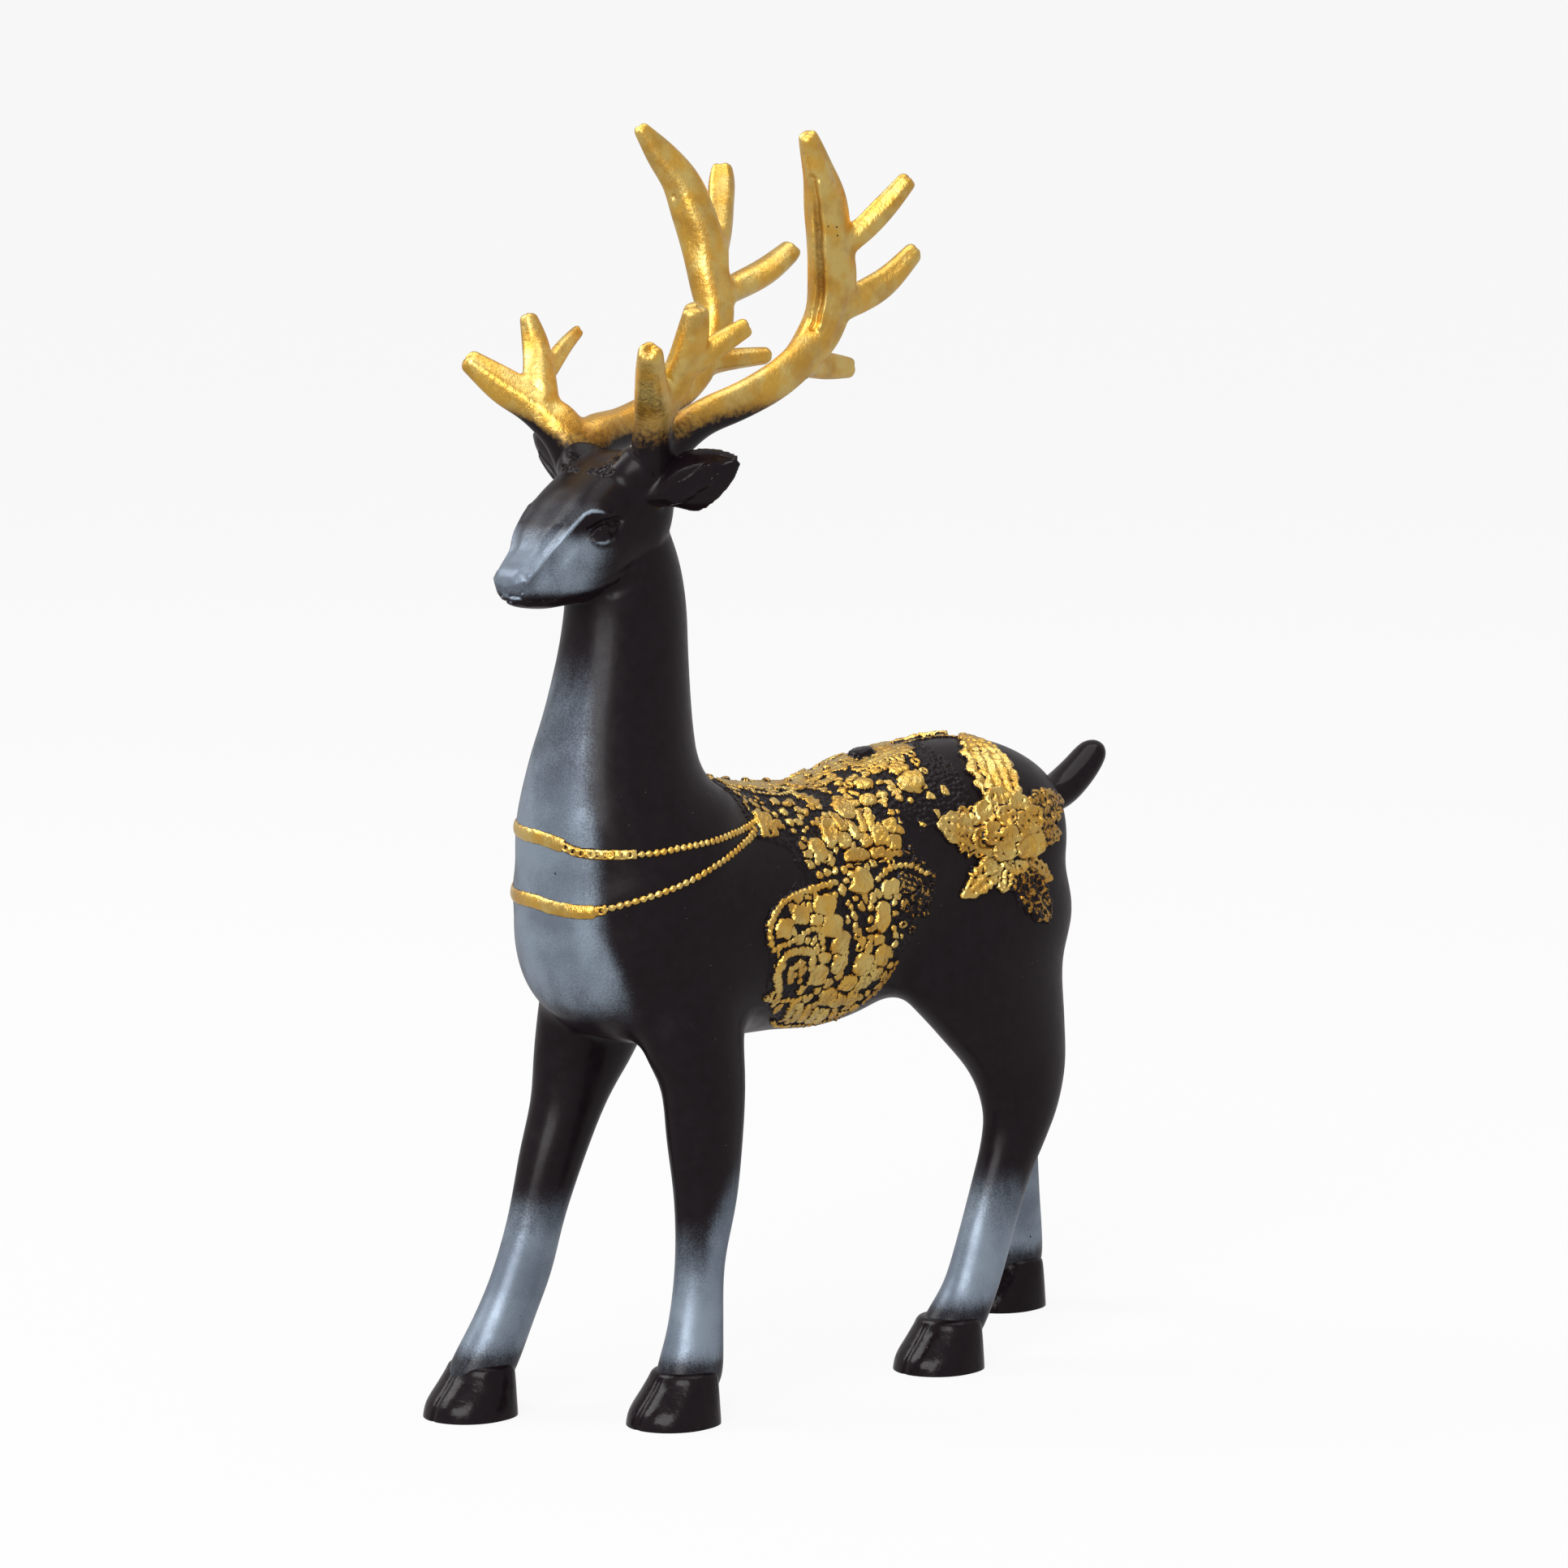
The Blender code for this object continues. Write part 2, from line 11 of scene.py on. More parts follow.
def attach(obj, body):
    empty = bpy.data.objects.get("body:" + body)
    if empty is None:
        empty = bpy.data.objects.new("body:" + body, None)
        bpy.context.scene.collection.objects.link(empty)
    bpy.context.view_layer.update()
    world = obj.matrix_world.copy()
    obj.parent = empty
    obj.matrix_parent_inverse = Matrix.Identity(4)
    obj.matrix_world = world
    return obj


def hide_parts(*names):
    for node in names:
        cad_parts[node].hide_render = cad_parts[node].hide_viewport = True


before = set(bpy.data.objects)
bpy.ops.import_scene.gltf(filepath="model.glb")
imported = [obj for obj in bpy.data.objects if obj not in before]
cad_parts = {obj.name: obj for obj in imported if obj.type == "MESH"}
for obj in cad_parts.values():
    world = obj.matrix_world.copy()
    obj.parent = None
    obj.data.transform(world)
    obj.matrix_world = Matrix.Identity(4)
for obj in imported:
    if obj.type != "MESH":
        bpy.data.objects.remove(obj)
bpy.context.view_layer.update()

# Trunk, neck and legs: the bulk of one solid casting in filled polyester resin,
# poured in a rubber mould and rubbed down, so the limbs run into the trunk without a joint.

MM = 0.001
FOOTPRINT_MIDDLE = Vector((0.037, 8.377, 0.0))

# Rows of (x, y, z, half width, half depth) in mm, from one end of each form to the other.
TRUNK = (
    (0, -72.5, 125.5, 12, 14.5), (0, -66, 123.5, 20, 23.5), (0, -56.5, 120.5, 26, 30),
    (0, -42, 118, 28, 32), (0, -24, 116, 28, 30.6), (0, -6, 114.8, 27, 29.6),
    (0, 8, 114.2, 26.5, 29.6), (0, 22, 118, 26, 28.7), (0, 38, 122.5, 25.5, 27.5),
    (0, 56, 124, 26, 27), (0, 68, 122, 25, 25.5), (0, 75.5, 119.5, 21, 21.5),
    (0, 82, 118.5, 13, 14.5),
)
CHEST_AND_NECK = (
    (0, -43, 88, 18, 18), (0, -42, 99, 24, 24), (0, -43, 112, 26.5, 28),
    (0, -46.5, 125, 27.5, 31), (0, -49.5, 134, 26.5, 29), (0, -52.5, 142, 23, 25.5),
    (0, -53.3, 152, 19.3, 21.8), (0, -52.2, 163, 16.2, 19.1), (0, -50.5, 178, 14, 16.6),
    (0, -49.8, 190, 13, 15.4), (0, -51, 200, 12.2, 14.3), (0, -52.5, 209, 10.5, 12),
)
LEGS = (
    ((14, -44, 112, 10, 15), (16, -44.5, 99, 10, 15), (17.5, -44.5, 88, 9.2, 13.8),
     (18, -42, 78, 8.4, 11.2), (18, -41.5, 66, 7.6, 10.2), (18, -41.3, 51, 6.4, 8.3),
     (18, -43.2, 36, 5.6, 6.3), (18.5, -45, 22, 6, 7.2), (19, -47.5, 11, 7.2, 8.6),
     (19, -48.5, 6, 6, 7)),
    ((-14, -44, 112, 10, 15), (-16, -45, 97, 10.5, 15.5), (-17.5, -47, 84, 9.6, 14.4),
     (-18, -51.8, 72, 8.2, 10.3), (-18, -57, 60, 7.3, 8.8), (-18, -62.4, 45, 6.1, 7.6),
     (-18.5, -66.8, 32, 6, 8.1), (-19, -71.8, 22, 6.3, 8.4), (-20, -77.5, 11, 7.2, 9),
     (-20, -79, 6, 6, 7)),
    ((14, 58, 124, 11, 20), (17.5, 53, 109, 11.5, 26.5), (19.3, 47.5, 96, 10.8, 27.2),
     (20, 53.6, 83, 9.6, 21), (20, 60, 71, 8.2, 15), (20, 61.3, 61, 7.2, 11.3),
     (20, 59, 53, 6.6, 9.4), (20, 54.8, 44, 6, 8.3), (20, 49.4, 30.5, 5.9, 7.9),
     (20, 44.8, 19.5, 6.3, 7.9), (20, 39, 11, 7.2, 8.8), (20, 37.5, 6, 6, 7)),
    ((-14, 60, 124, 11, 18), (-17.5, 62, 109, 11.5, 20), (-19, 70, 96, 10.5, 17),
     (-20, 80, 83, 9, 13.2), (-20, 89, 71, 7.5, 10.8), (-20, 95, 61, 6.8, 9.2),
     (-20, 98, 51, 6.3, 8), (-20, 99, 40, 5.9, 7.2), (-20, 99.8, 28, 5.9, 7.2),
     (-20, 100, 18, 6.3, 7.8), (-20, 98.5, 11, 7.2, 8.8), (-20, 97, 6, 6, 7)),
)
ROUGH_VOXEL = 1.1 * MM
CREASE_PASSES = 110


def flowing(rows, steps):
    """A smooth curve through rows of numbers, with so many steps between them."""
    padded = [rows[0], *rows, rows[-1]]
    curve = []
    for before, start, end, after in zip(padded, padded[1:], padded[2:], padded[3:]):
        for step in range(steps):
            t = step / steps
            curve.append([
                0.5 * (2 * b + (c - a) * t + (2 * a - 5 * b + 4 * c - d) * t**2
                       + (3 * b - a - 3 * c + d) * t**3)
                for a, b, c, d in zip(before, start, end, after)
            ])
    curve.append(list(rows[-1]))
    return curve


def squared(value, flatness):
    return math.copysign(abs(value) ** (2 / flatness), value)


def limb(rows, side=Vector((1, 0, 0)), flat_top=2.0, cup=0.0, level=False, sides=24, steps=4):
    """A closed tube through rows of (x, y, z, half width, half depth), bridged ring by ring."""
    form = bmesh.new()
    stations = flowing(rows, steps)
    middles = [(Vector(row[:3]) - FOOTPRINT_MIDDLE) * MM for row in stations]
    loops = []
    for index, row in enumerate(stations):
        tangent = (middles[min(index + 1, len(middles) - 1)] - middles[max(index - 1, 0)]).normalized()
        across = (side - tangent * side.dot(tangent)).normalized()
        deep = across.cross(tangent)
        if level:
            across, deep = Vector((1, 0, 0)), Vector((0, 1, 0))
        ring = bmesh.ops.create_circle(form, segments=sides, radius=1.0)["verts"]
        for number, vert in enumerate(ring):
            angle = 2 * math.pi * number / sides
            wide, tall = math.cos(angle), math.sin(angle)
            if tall > 0:
                wide, tall = squared(wide, flat_top), squared(tall, flat_top)
            sag = cup * row[4] * math.sin(angle) ** 2
            vert.co = middles[index] + (across * wide * row[3] + deep * (tall * row[4] - sag)) * MM
        loops.append(list({edge for vert in ring for edge in vert.link_edges}))
    for first, second in zip(loops, loops[1:]):
        bmesh.ops.bridge_loops(form, edges=first + second)
    for loop in (loops[0], loops[-1]):
        bmesh.ops.contextual_create(form, geom=loop)
    return form


def worked(piece):
    """Works a piece's modifiers into its mesh."""
    depsgraph = bpy.context.evaluated_depsgraph_get()
    piece.data = bpy.data.meshes.new_from_object(piece.evaluated_get(depsgraph))
    piece.modifiers.clear()


def hardened(form, mesh):
    """Turns a worked form into a mesh."""
    form.to_mesh(mesh)
    form.free()
    return mesh


def placed(name, data):
    """Puts a new object with this mesh, lens or light into the scene."""
    thing = bpy.data.objects.new(name, data)
    bpy.context.scene.collection.objects.link(thing)
    return thing


def cast(name, forms, voxel, eased, rounding=2):
    """Pours closed forms together into one skin."""
    whole = bmesh.new()
    for form in forms:
        mesh = form
        if isinstance(form, bmesh.types.BMesh):
            mesh = hardened(form, bpy.data.meshes.new("form"))
        whole.from_mesh(mesh)
        bpy.data.meshes.remove(mesh)
    bmesh.ops.recalc_face_normals(whole, faces=whole.faces)
    piece = placed(name, hardened(whole, bpy.data.meshes.new(name)))
    rounded = piece.modifiers.new("rounded", "SUBSURF")
    rounded.levels = rounded.render_levels = rounding
    fused = piece.modifiers.new("fused", "REMESH")
    fused.mode = "VOXEL"
    fused.voxel_size = voxel
    smooth = piece.modifiers.new("eased", "SMOOTH")
    smooth.iterations = eased
    worked(piece)
    return piece


def places(mesh):
    """The mesh's points in mm on the figure's own grid."""
    flat = np.empty(len(mesh.vertices) * 3)
    mesh.vertices.foreach_get("co", flat)
    return flat.reshape(-1, 3) / MM + np.array(FOOTPRINT_MIDDLE)


def settle(mesh, points):
    mesh.vertices.foreach_set("co", ((points - np.array(FOOTPRINT_MIDDLE)) * MM).ravel())
    mesh.update()


def facing(mesh):
    flat = np.empty(len(mesh.vertices) * 3)
    mesh.vertex_normals.foreach_get("vector", flat)
    return flat.reshape(-1, 3)


def fill_creases(mesh, passes, where=None):
    """Rounds the inner corners where two forms meet, as clay is wiped with a thumb."""
    ends = np.empty(len(mesh.edges) * 2, dtype=int)
    mesh.edges.foreach_get("vertices", ends)
    first, second = ends.reshape(-1, 2).T
    points = places(mesh)
    count = len(points)
    joined = np.bincount(first, minlength=count) + np.bincount(second, minlength=count)
    share = np.ones(count) if where is None else where(points)
    for _ in range(passes):
        mean = np.stack([
            (np.bincount(first, points[second, axis], count)
             + np.bincount(second, points[first, axis], count)) / joined
            for axis in range(3)
        ], axis=1)
        outward = facing(mesh)
        move = mean - points
        rise = (move * outward).sum(axis=1)
        slide = move - outward * rise[:, None]
        points = points + outward * (np.maximum(rise, 0) * 0.9 * share)[:, None] + slide * 0.3
        settle(mesh, points)


def ramp(value, low, high):
    """0 below low, 1 above high, and smooth between."""
    t = np.clip((value - low) / (high - low), 0, 1)
    return t * t * (3 - 2 * t)


rough = cast("rough", [limb(TRUNK), limb(CHEST_AND_NECK), *(limb(rows, level=True) for rows in LEGS)],
             ROUGH_VOXEL, 3)
fill_creases(rough.data, CREASE_PASSES, lambda p: ramp(np.abs(p[:, 0]), 6, 14))
trunk_mesh = rough.data
bpy.data.objects.remove(rough)

# Head, ears and tail, poured with the body. The face is a flat wedge between two ridges that
# end in the brows; eyes, mouth and ear folds are pressed into the wax of the master.

HEAD = (
    (0, -86.5, 196.8, 3.2, 2.6), (0, -84.8, 197, 5.2, 4.4), (0, -81, 197.6, 6.6, 6.1),
    (0, -76, 199, 8.2, 8.2), (0, -71, 201.5, 10.8, 10.8), (0, -65.5, 204.5, 12.6, 12.4),
    (0, -59, 208.5, 13, 13.6), (0, -51, 212, 13, 14.6), (0, -45, 212.5, 11, 12.5),
    (0, -40.5, 212, 6.5, 8),
)
EAR_SHAPE = ((0.0, 0.34, 1.7), (0.16, 0.56, 1.4), (0.38, 0.98, 1.1), (0.6, 0.9, 1.05),
             (0.82, 0.6, 0.95), (1.0, 0.14, 0.6))
EAR_LENGTH = 25.5
EAR_WIDTH = 14.5
EAR_WALL = 2.7
TAIL = ((0, 82, 132, 5.3, 4.25), (0, 92.4, 133, 5.5, 4.5), (0, 100.2, 137.2, 5.2, 4.2),
        (0, 106.4, 142.4, 4.2, 3.4), (0, 108.5, 144.5, 1.8, 1.5))
BODY_VOXEL = 0.40 * MM
BODY_FACES = 190000
# Faces are thinned out below the throat only, so the face keeps its fine carving.
THROAT = 190

# The ridge that runs up each side of the face and curls over the eye as the brow.
RIDGE = ((5.9, -84.8, 198.7), (6.5, -82.0, 201.6), (7.2, -79.2, 204.8), (8.2, -77.2, 207.3),
         (9.2, -74.6, 210.2), (10.2, -71.2, 213.5), (11.0, -69.6, 214.2), (12.0, -67.7, 214.0),
         (12.4, -65.3, 213.2))
EYE = (12.8, -67.0, 208.9)
CROWN_LUMPS = (6, -60, 225)
LOWER_LID = ((11.8, -71.1, 207.7), (12.9, -69.6, 206.9), (13.2, -67.4, 206.8), (12.6, -64.9, 207.8))
# Strokes of the modelling tool: (reach, lift in mm, path), on the left side and mirrored.
FACE_STROKES = (
    (2.4, 0.28, RIDGE),
    (0.9, 0.3, RIDGE),
    (2.8, -0.5, ((7.6, -83.0, 198.2), (9.0, -78.2, 202.6), (10.2, -75.0, 206.2), (11.2, -72.2, 209.6))),
    (2.4, -0.35, ((4.2, -83.0, 201.2), (5.2, -78.8, 206.0), (6.4, -75.8, 209.4))),
    (4.5, -0.25, ((0, -84.5, 199.5), (0, -76, 208), (0, -69, 215))),
    (4.0, -0.95, ((11.3, -70.6, 209.4), (12.4, -67.4, 210.2), (12.1, -63.6, 210.6))),
    (2.9, 0.95, ((13.0, -68.9, 208.2), (13.1, -66.6, 208.6))),
    (0.8, 0.55, ((11.3, -71.0, 208.4), (11.9, -69.0, 210.0), (12.0, -66.2, 210.5), (12.0, -63.4, 210.0))),
    (0.8, -0.75, ((10.9, -70.6, 209.8), (11.5, -67.6, 211.4), (12.0, -64.2, 212.0), (12.3, -61.6, 212.0))),
    (0.7, 0.28, LOWER_LID),
    (0.7, -0.4, ((12.0, -71.4, 208.1), (12.3, -70.7, 208.2))),
    (1.1, -0.35, ((12.1, -62.8, 209.9), (12.1, -62.0, 211.4))),
    (0.8, 0.4, ((12.6, -66.4, 205.6), (12.6, -66.0, 205.4))),
    (1.7, 0.16, ((0, -86.8, 197.6), (2.5, -86.3, 197.8), (5.2, -84.8, 198.2))),
    (0.8, -0.6, ((0, -85.4, 193.4), (3.3, -84.1, 193.5), (4.2, -79.6, 193.0), (5.9, -77.2, 193.6))),
    (0.9, -0.9, ((2.0, -86.0, 195.0), (3.5, -85.3, 194.6))),
    (0.9, -0.9, ((3.4, -82.6, 193.2), (4.4, -79.6, 193.1))),
    (0.6, -0.5, ((4.4, -85.4, 196.0), (4.6, -85.2, 196.2))),
    (1.8, 0.4, ((5.9, -77.0, 194.0), (7.7, -70.5, 195.8), (8.8, -64.9, 196.6), (10.1, -59.5, 198.1),
                (11.7, -55.7, 200.1))),
    (1.3, 0.8, ((4.6, -62.5, 223.0), (6.2, -61.2, 224.0))),
    (0.9, 0.9, ((7.2, -62.4, 222.0), (8.4, -61.2, 222.8))),
    (0.8, 0.7, ((2.2, -63.2, 223.0), (3.0, -62.6, 223.6))),
    (0.9, -0.7, ((5.6, -60.0, 225.5), (8.2, -59.6, 225.5))),
    (0.8, 0.5, ((17.6, -51.8, 215.8), (22.0, -51.2, 216.6), (27.0, -49.8, 219.8), (31.0, -48.4, 223.2))),
    (0.6, 0.35, ((19.0, -51.6, 219.0), (24.0, -50.8, 221.4), (29.0, -49.4, 224.4))),
    (2.2, -0.35, ((7.4, -69.0, 193.8), (8.8, -64.4, 194.6), (10.0, -59.6, 195.8), (11.4, -56.2, 198.0))),
)
EAR_HEIGHTS = {1: 216.3, -1: 218.6}
EAR_OUTWARD = Vector((0.91, 0.19, 0.38)).normalized()


def ear_rows(side):
    root = Vector((side * 11.5, -50, EAR_HEIGHTS[side]))
    outward = Vector((side * EAR_OUTWARD.x, EAR_OUTWARD.y, EAR_OUTWARD.z))
    return [(*(root + outward * EAR_LENGTH * along), EAR_WIDTH / 2 * wide, EAR_WALL / 2 * thick)
            for along, wide, thick in EAR_SHAPE]


# Antlers: rows of (x, y, z, thickness as a share of the beam's), base to tip, beam then tines.
LEFT_ANTLER = (
    ((11, -51, 219, 1.25), (12, -49, 227, 1.1), (14, -39.5, 233.6, 0.86), (16, -28.5, 237.5, 0.82),
     (18, -17.5, 242.8, 0.86), (19, -9.5, 249, 0.92), (19.6, -4.8, 255.5, 1.08), (21, -4, 264.5, 1.16),
     (22.5, -6.4, 274, 1.14), (24.2, -9.2, 284, 1.0), (26, -13.5, 292, 0.7), (27.5, -18, 299.4, 0.42)),
    ((23, -4, 272.5, 0.66), (25.5, 1.5, 276, 0.58), (28, 7, 281.8, 0.56), (31, 12, 288.5, 0.42)),
    ((21, -2, 258.5, 0.72), (21, 4.5, 260, 0.66), (20, 15, 263.8, 0.62), (20, 25, 271, 0.44)),
    ((18, -10, 246, 0.66), (16, -1, 244.5, 0.58), (14, 9.5, 243.5, 0.42)),
    ((12, -52, 224, 1.1), (14, -53.5, 230, 0.98), (18, -57, 237.5, 0.88), (23, -62.5, 244, 0.78),
     (30, -69, 252, 0.56)),
    ((17, -55, 235.5, 0.76), (21, -52.5, 244.5, 0.8), (25, -52, 253, 0.8), (28, -53, 261, 0.6)),
    ((22, -51, 246, 0.56), (26, -44.5, 251.5, 0.54), (29, -37.5, 256, 0.42)),
)
RIGHT_ANTLER = (
    ((-11, -54, 219, 1.25), (-12.5, -49, 227.5, 1.15), (-14.5, -37, 230.3, 0.9),
     (-16.5, -24, 234.5, 0.8), (-18, -14, 239.5, 0.82), (-19, -7, 246, 0.86),
     (-20, -3, 254.5, 0.88), (-21.5, -3.5, 263, 0.94), (-23, -4, 271, 1.0),
     (-24, -6, 279, 0.98), (-25.5, -8.7, 286.5, 0.86), (-27, -14.5, 293.5, 0.64),
     (-27.5, -20.5, 299.8, 0.32)),
    ((-23, -1, 267, 0.72), (-26, 4, 276, 0.7), (-29, 7.5, 284, 0.7), (-31, 9.5, 290, 0.46)),
    ((-21, -3, 258.5, 0.68), (-21, 6, 261.5, 0.64), (-20.5, 15, 265, 0.66), (-20, 23, 270, 0.52)),
    ((-18, -9, 243.5, 0.54), (-16, -0.5, 244.5, 0.48), (-14, 9.5, 245, 0.38)),
    ((-12, -53, 223, 1.15), (-15, -55.5, 230, 1.05), (-20, -60, 236.2, 0.88),
     (-25, -66, 241.2, 0.76), (-30, -72.5, 247.3, 0.48)),
    ((-18, -59, 235.5, 0.78), (-22, -56.5, 244, 0.76), (-25, -55, 250, 0.6), (-28, -55, 257, 0.38)),
    ((-23, -53.5, 243.5, 0.42), (-26, -46, 248.5, 0.38), (-29, -38, 252.5, 0.26)),
)
# The stub of the skull under each beam, on the left side and mirrored.
PEDICLE = ((3, -55.5, 215.5, 1.2), (8.4, -54.4, 220.5, 1.36), (11.6, -52.4, 224.6, 1.2))
BEAM_THICKNESS = 10.0


def tine(rows, swell=1.0, **how):
    half = BEAM_THICKNESS / 2 * swell
    return limb([(x, y, z, half * share * 0.94, half * share * 1.06) for x, y, z, share in rows], **how)


def from_path(points, path):
    """How far each point is from a path."""
    gap = np.full(len(points), np.inf)
    for start, end in zip(path, path[1:]):
        run = end - start
        share = np.clip((points - start) @ run / max(run @ run, 1e-9), 0, 1)
        gap = np.minimum(gap, np.linalg.norm(points - start - share[:, None] * run, axis=1))
    return gap


def beside(points, path):
    """How far each point is from a path, on either side of the figure."""
    return np.minimum(*(from_path(points, np.array(path) * (side, 1, 1)) for side in (-1, 1)))


def stroke(points, outward, reach, lift, path):
    """Raises or presses the skin along a path that is first laid on it."""
    fine = np.array(flowing(path, 4))
    near = np.ones(len(points), dtype=bool)
    for axis in range(3):
        near &= (points[:, axis] > fine[:, axis].min() - 3 * reach)
        near &= (points[:, axis] < fine[:, axis].max() + 3 * reach)
    chosen = np.flatnonzero(near)
    if not len(chosen):
        return
    skin = points[chosen]
    laid = np.array([skin[np.argmin(((skin - spot) ** 2).sum(axis=1))] for spot in fine])
    fall = np.clip(1 - (from_path(skin, laid) / reach) ** 2, 0, 1) ** 2
    points[chosen] = skin + outward[chosen] * (lift * fall)[:, None]


def painted(mesh, name, values):
    """Keeps a paint mask on the mesh's points."""
    layer = mesh.attributes.get(name) or mesh.attributes.new(name, "FLOAT", "POINT")
    layer.data.foreach_set("value", np.ascontiguousarray(values, dtype=np.float32))


def shaded(mesh):
    mesh.polygons.foreach_set("use_smooth", [True] * len(mesh.polygons))


forms = [trunk_mesh, limb(HEAD, flat_top=3.4, sides=32, steps=5), limb(TAIL)]
forms += [limb(ear_rows(side), side=Vector((0, 0, side)), cup=2.2, steps=5) for side in (-1, 1)]
forms += [tine([(side * x, y, z, share) for x, y, z, share in PEDICLE]) for side in (-1, 1)]
forms += [tine(antler[number][:3], swell=0.86) for antler in (LEFT_ANTLER, RIGHT_ANTLER)
          for number in (0, 4)]
body = cast("body", forms, BODY_VOXEL, 5, rounding=1)
fill_creases(body.data, 30, lambda p: ramp(p[:, 2], 205, 212))
points, outward = places(body.data), facing(body.data)
for reach, lift, path in FACE_STROKES:
    stroke(points, outward, reach, lift, path)
    if any(abs(x) > 1 for x, _, _ in path):
        stroke(points, outward, reach, lift, [(-x, y, z) for x, y, z in path])
settle(body.data, points)
loose = body.vertex_groups.new(name="trunk_and_legs")
loose.add(np.flatnonzero(points[:, 2] < THROAT).tolist(), 1.0, "REPLACE")
thinned = body.modifiers.new("thinned", "DECIMATE")
thinned.ratio = BODY_FACES / sum(len(face.vertices) - 2 for face in body.data.polygons)
thinned.vertex_group = loose.name
worked(body)
body.vertex_groups.clear()
shaded(body.data)

# The spray: silver-blue pearl on muzzle, throat, chest and shins. Its width round the neck in
# degrees changes with the height, and it climbs the left foreleg on the side it was sprayed from.
# The same mask also carries painted highlights: a thin line along each face ridge and each lower lid.
SPRAY_HEIGHTS = (96, 100, 108, 117, 145, 172, 190)
SPRAY_WIDTHS = (52, 45, 38, 30, 27, 24, 30)
SPRAYED_FROM = (0.685, 0.729)
# Shins: right, hind, and the heights between which the spray fades out.
SHIN_FADES = ((True, False, 34, 58), (False, False, 24, 54), (False, True, 27, 53), (True, True, 33, 55))

points, outward = places(body.data), facing(body.data)
x, y, z = points.T
bearing = np.degrees(np.arctan2(x, -(y + 46)))
reach = np.interp(z, SPRAY_HEIGHTS, SPRAY_WIDTHS)
chest = ((1 - 0.42 * ramp(z, 136, 165)) * ramp(reach + 12 - np.abs(bearing + 1), 0, 24)
         * ramp(z, 90, 110) * ramp(-z, -190, -166) * (y < -46))
crest = beside(points, RIDGE) * np.interp(z, (198, 206, 212), (0.8, 1.0, 1.7))
lid = beside(points, LOWER_LID)
on_head = ramp(z, 189, 194)
bridge = ramp(-z, -215, -202) * ramp(-y, 66, 76) * ramp(outward[:, 2] - outward[:, 1], 0.5, 1.1)
forehead = 0.24 * ramp(-z, -222, -212) * ramp(-y, 60, 72) * ramp(outward[:, 2] - outward[:, 1], 0.5, 1.1)
cheeks = 0.6 * ramp(-z, -212, -205) * ramp(-y, 58, 76) * ramp(z, 193.5, 197)
to_eye = np.linalg.norm((np.stack([np.abs(x), y, z], axis=1) - EYE) * (1, 0.75, 1), axis=1)
# The line along each face ridge is partly silver on the crest and partly a painted highlight.
muzzle_spray_and_highlights = on_head * np.maximum.reduce([bridge, forehead, cheeks,
                                      1.15 * ramp(-crest, -1.2, 0.1) * ramp(-y, 65, 70)])
faced = ramp(outward[:, 0] * SPRAYED_FROM[0] + outward[:, 1] * SPRAYED_FROM[1], 0.2, 1.0)
shins = np.zeros(len(points))
for right, hind, low, high in SHIN_FADES:
    leg = ((x < 0) == right) & ((y > 5) == hind)
    top = 17 * faced * (not right) * (not hind)
    shins = np.where(leg, ramp(-(z - top), -high, -low), shins)
shins *= (z < 82) * (0.25 + 0.75 * ramp(z, 13.2, 19))
muzzle_spray_and_highlights *= 1 - 0.75 * ramp(-to_eye, -4.2, -2.4) * ramp(crest, 0.8, 1.6)
# Painted highlight: a thin silver line along each lower lid.
muzzle_spray_and_highlights = np.maximum(muzzle_spray_and_highlights, 0.6 * ramp(-lid, -0.7, -0.1) * on_head)
spray_and_highlights = np.clip(chest * 0.9 + muzzle_spray_and_highlights + shins, 0, 1)
painted(body.data, "spray_and_highlights", spray_and_highlights)
crown = ramp(z, 228, 232) * ramp(outward[:, 2] - outward[:, 1] * 0.6, -0.1, 0.5)
painted(body.data, "gold", crown * ramp(-y, 46, 52))
gloss = np.maximum(ramp(np.abs(x), 15, 18) * (z > 205), ramp(y, 84, 90) * (z > 120))
gloss = np.maximum(gloss, 0.5 * ramp(-to_eye, -2.8, -1.8))
gloss = np.maximum(gloss, ramp(-np.linalg.norm(points - CROWN_LUMPS, axis=1), -5, -2))
painted(body.data, "gloss", gloss)


class Recipe:
    """Wires the nodes of one paint, from a place on the piece."""

    def __init__(self, tree, place):
        self.tree, self.place = tree, place

    def put(self, value, socket):
        """Gives a socket another node's output, or a number or colour of its own."""
        if isinstance(value, bpy.types.NodeSocket):
            self.tree.links.new(value, socket)
        else:
            socket.default_value = value

    def node(self, kind, **inputs):
        node = self.tree.nodes.new("ShaderNode" + kind)
        for label, value in inputs.items():
            self.put(value, node.inputs[label])
        return node

    def noise(self, scale, detail=2.0, rough=0.5, stretch=None):
        place = self.place
        if stretch:
            place = self.node("Mapping", Vector=place, Scale=stretch).outputs["Vector"]
        return self.node("TexNoise", Vector=place, Scale=scale, Detail=detail, Roughness=rough).outputs["Fac"]

    def cells(self, size):
        return self.node("TexVoronoi", Vector=self.place, Scale=size).outputs["Distance"]

    def sums(self, kind, first, second, third=0.0, clamp=False):
        node = self.node("Math")
        node.operation, node.use_clamp = kind, clamp
        for value, socket in zip((first, second, third), node.inputs):
            self.put(value, socket)
        return node.outputs[0]

    def between(self, value, low, high, to_low=0.0, to_high=1.0):
        node = self.node("MapRange", Value=value)
        node.interpolation_type = "SMOOTHSTEP"
        for label, number in (("From Min", low), ("From Max", high), ("To Min", to_low), ("To Max", to_high)):
            node.inputs[label].default_value = number
        return node.outputs["Result"]

    def blend(self, share, first, second):
        node = self.node("Mix")
        node.data_type = "RGBA"
        self.put(share, node.inputs["Factor"])
        for colour, socket in ((first, node.inputs[6]), (second, node.inputs[7])):
            self.put((*colour, 1) if isinstance(colour, tuple) else colour, socket)
        return node.outputs[2]


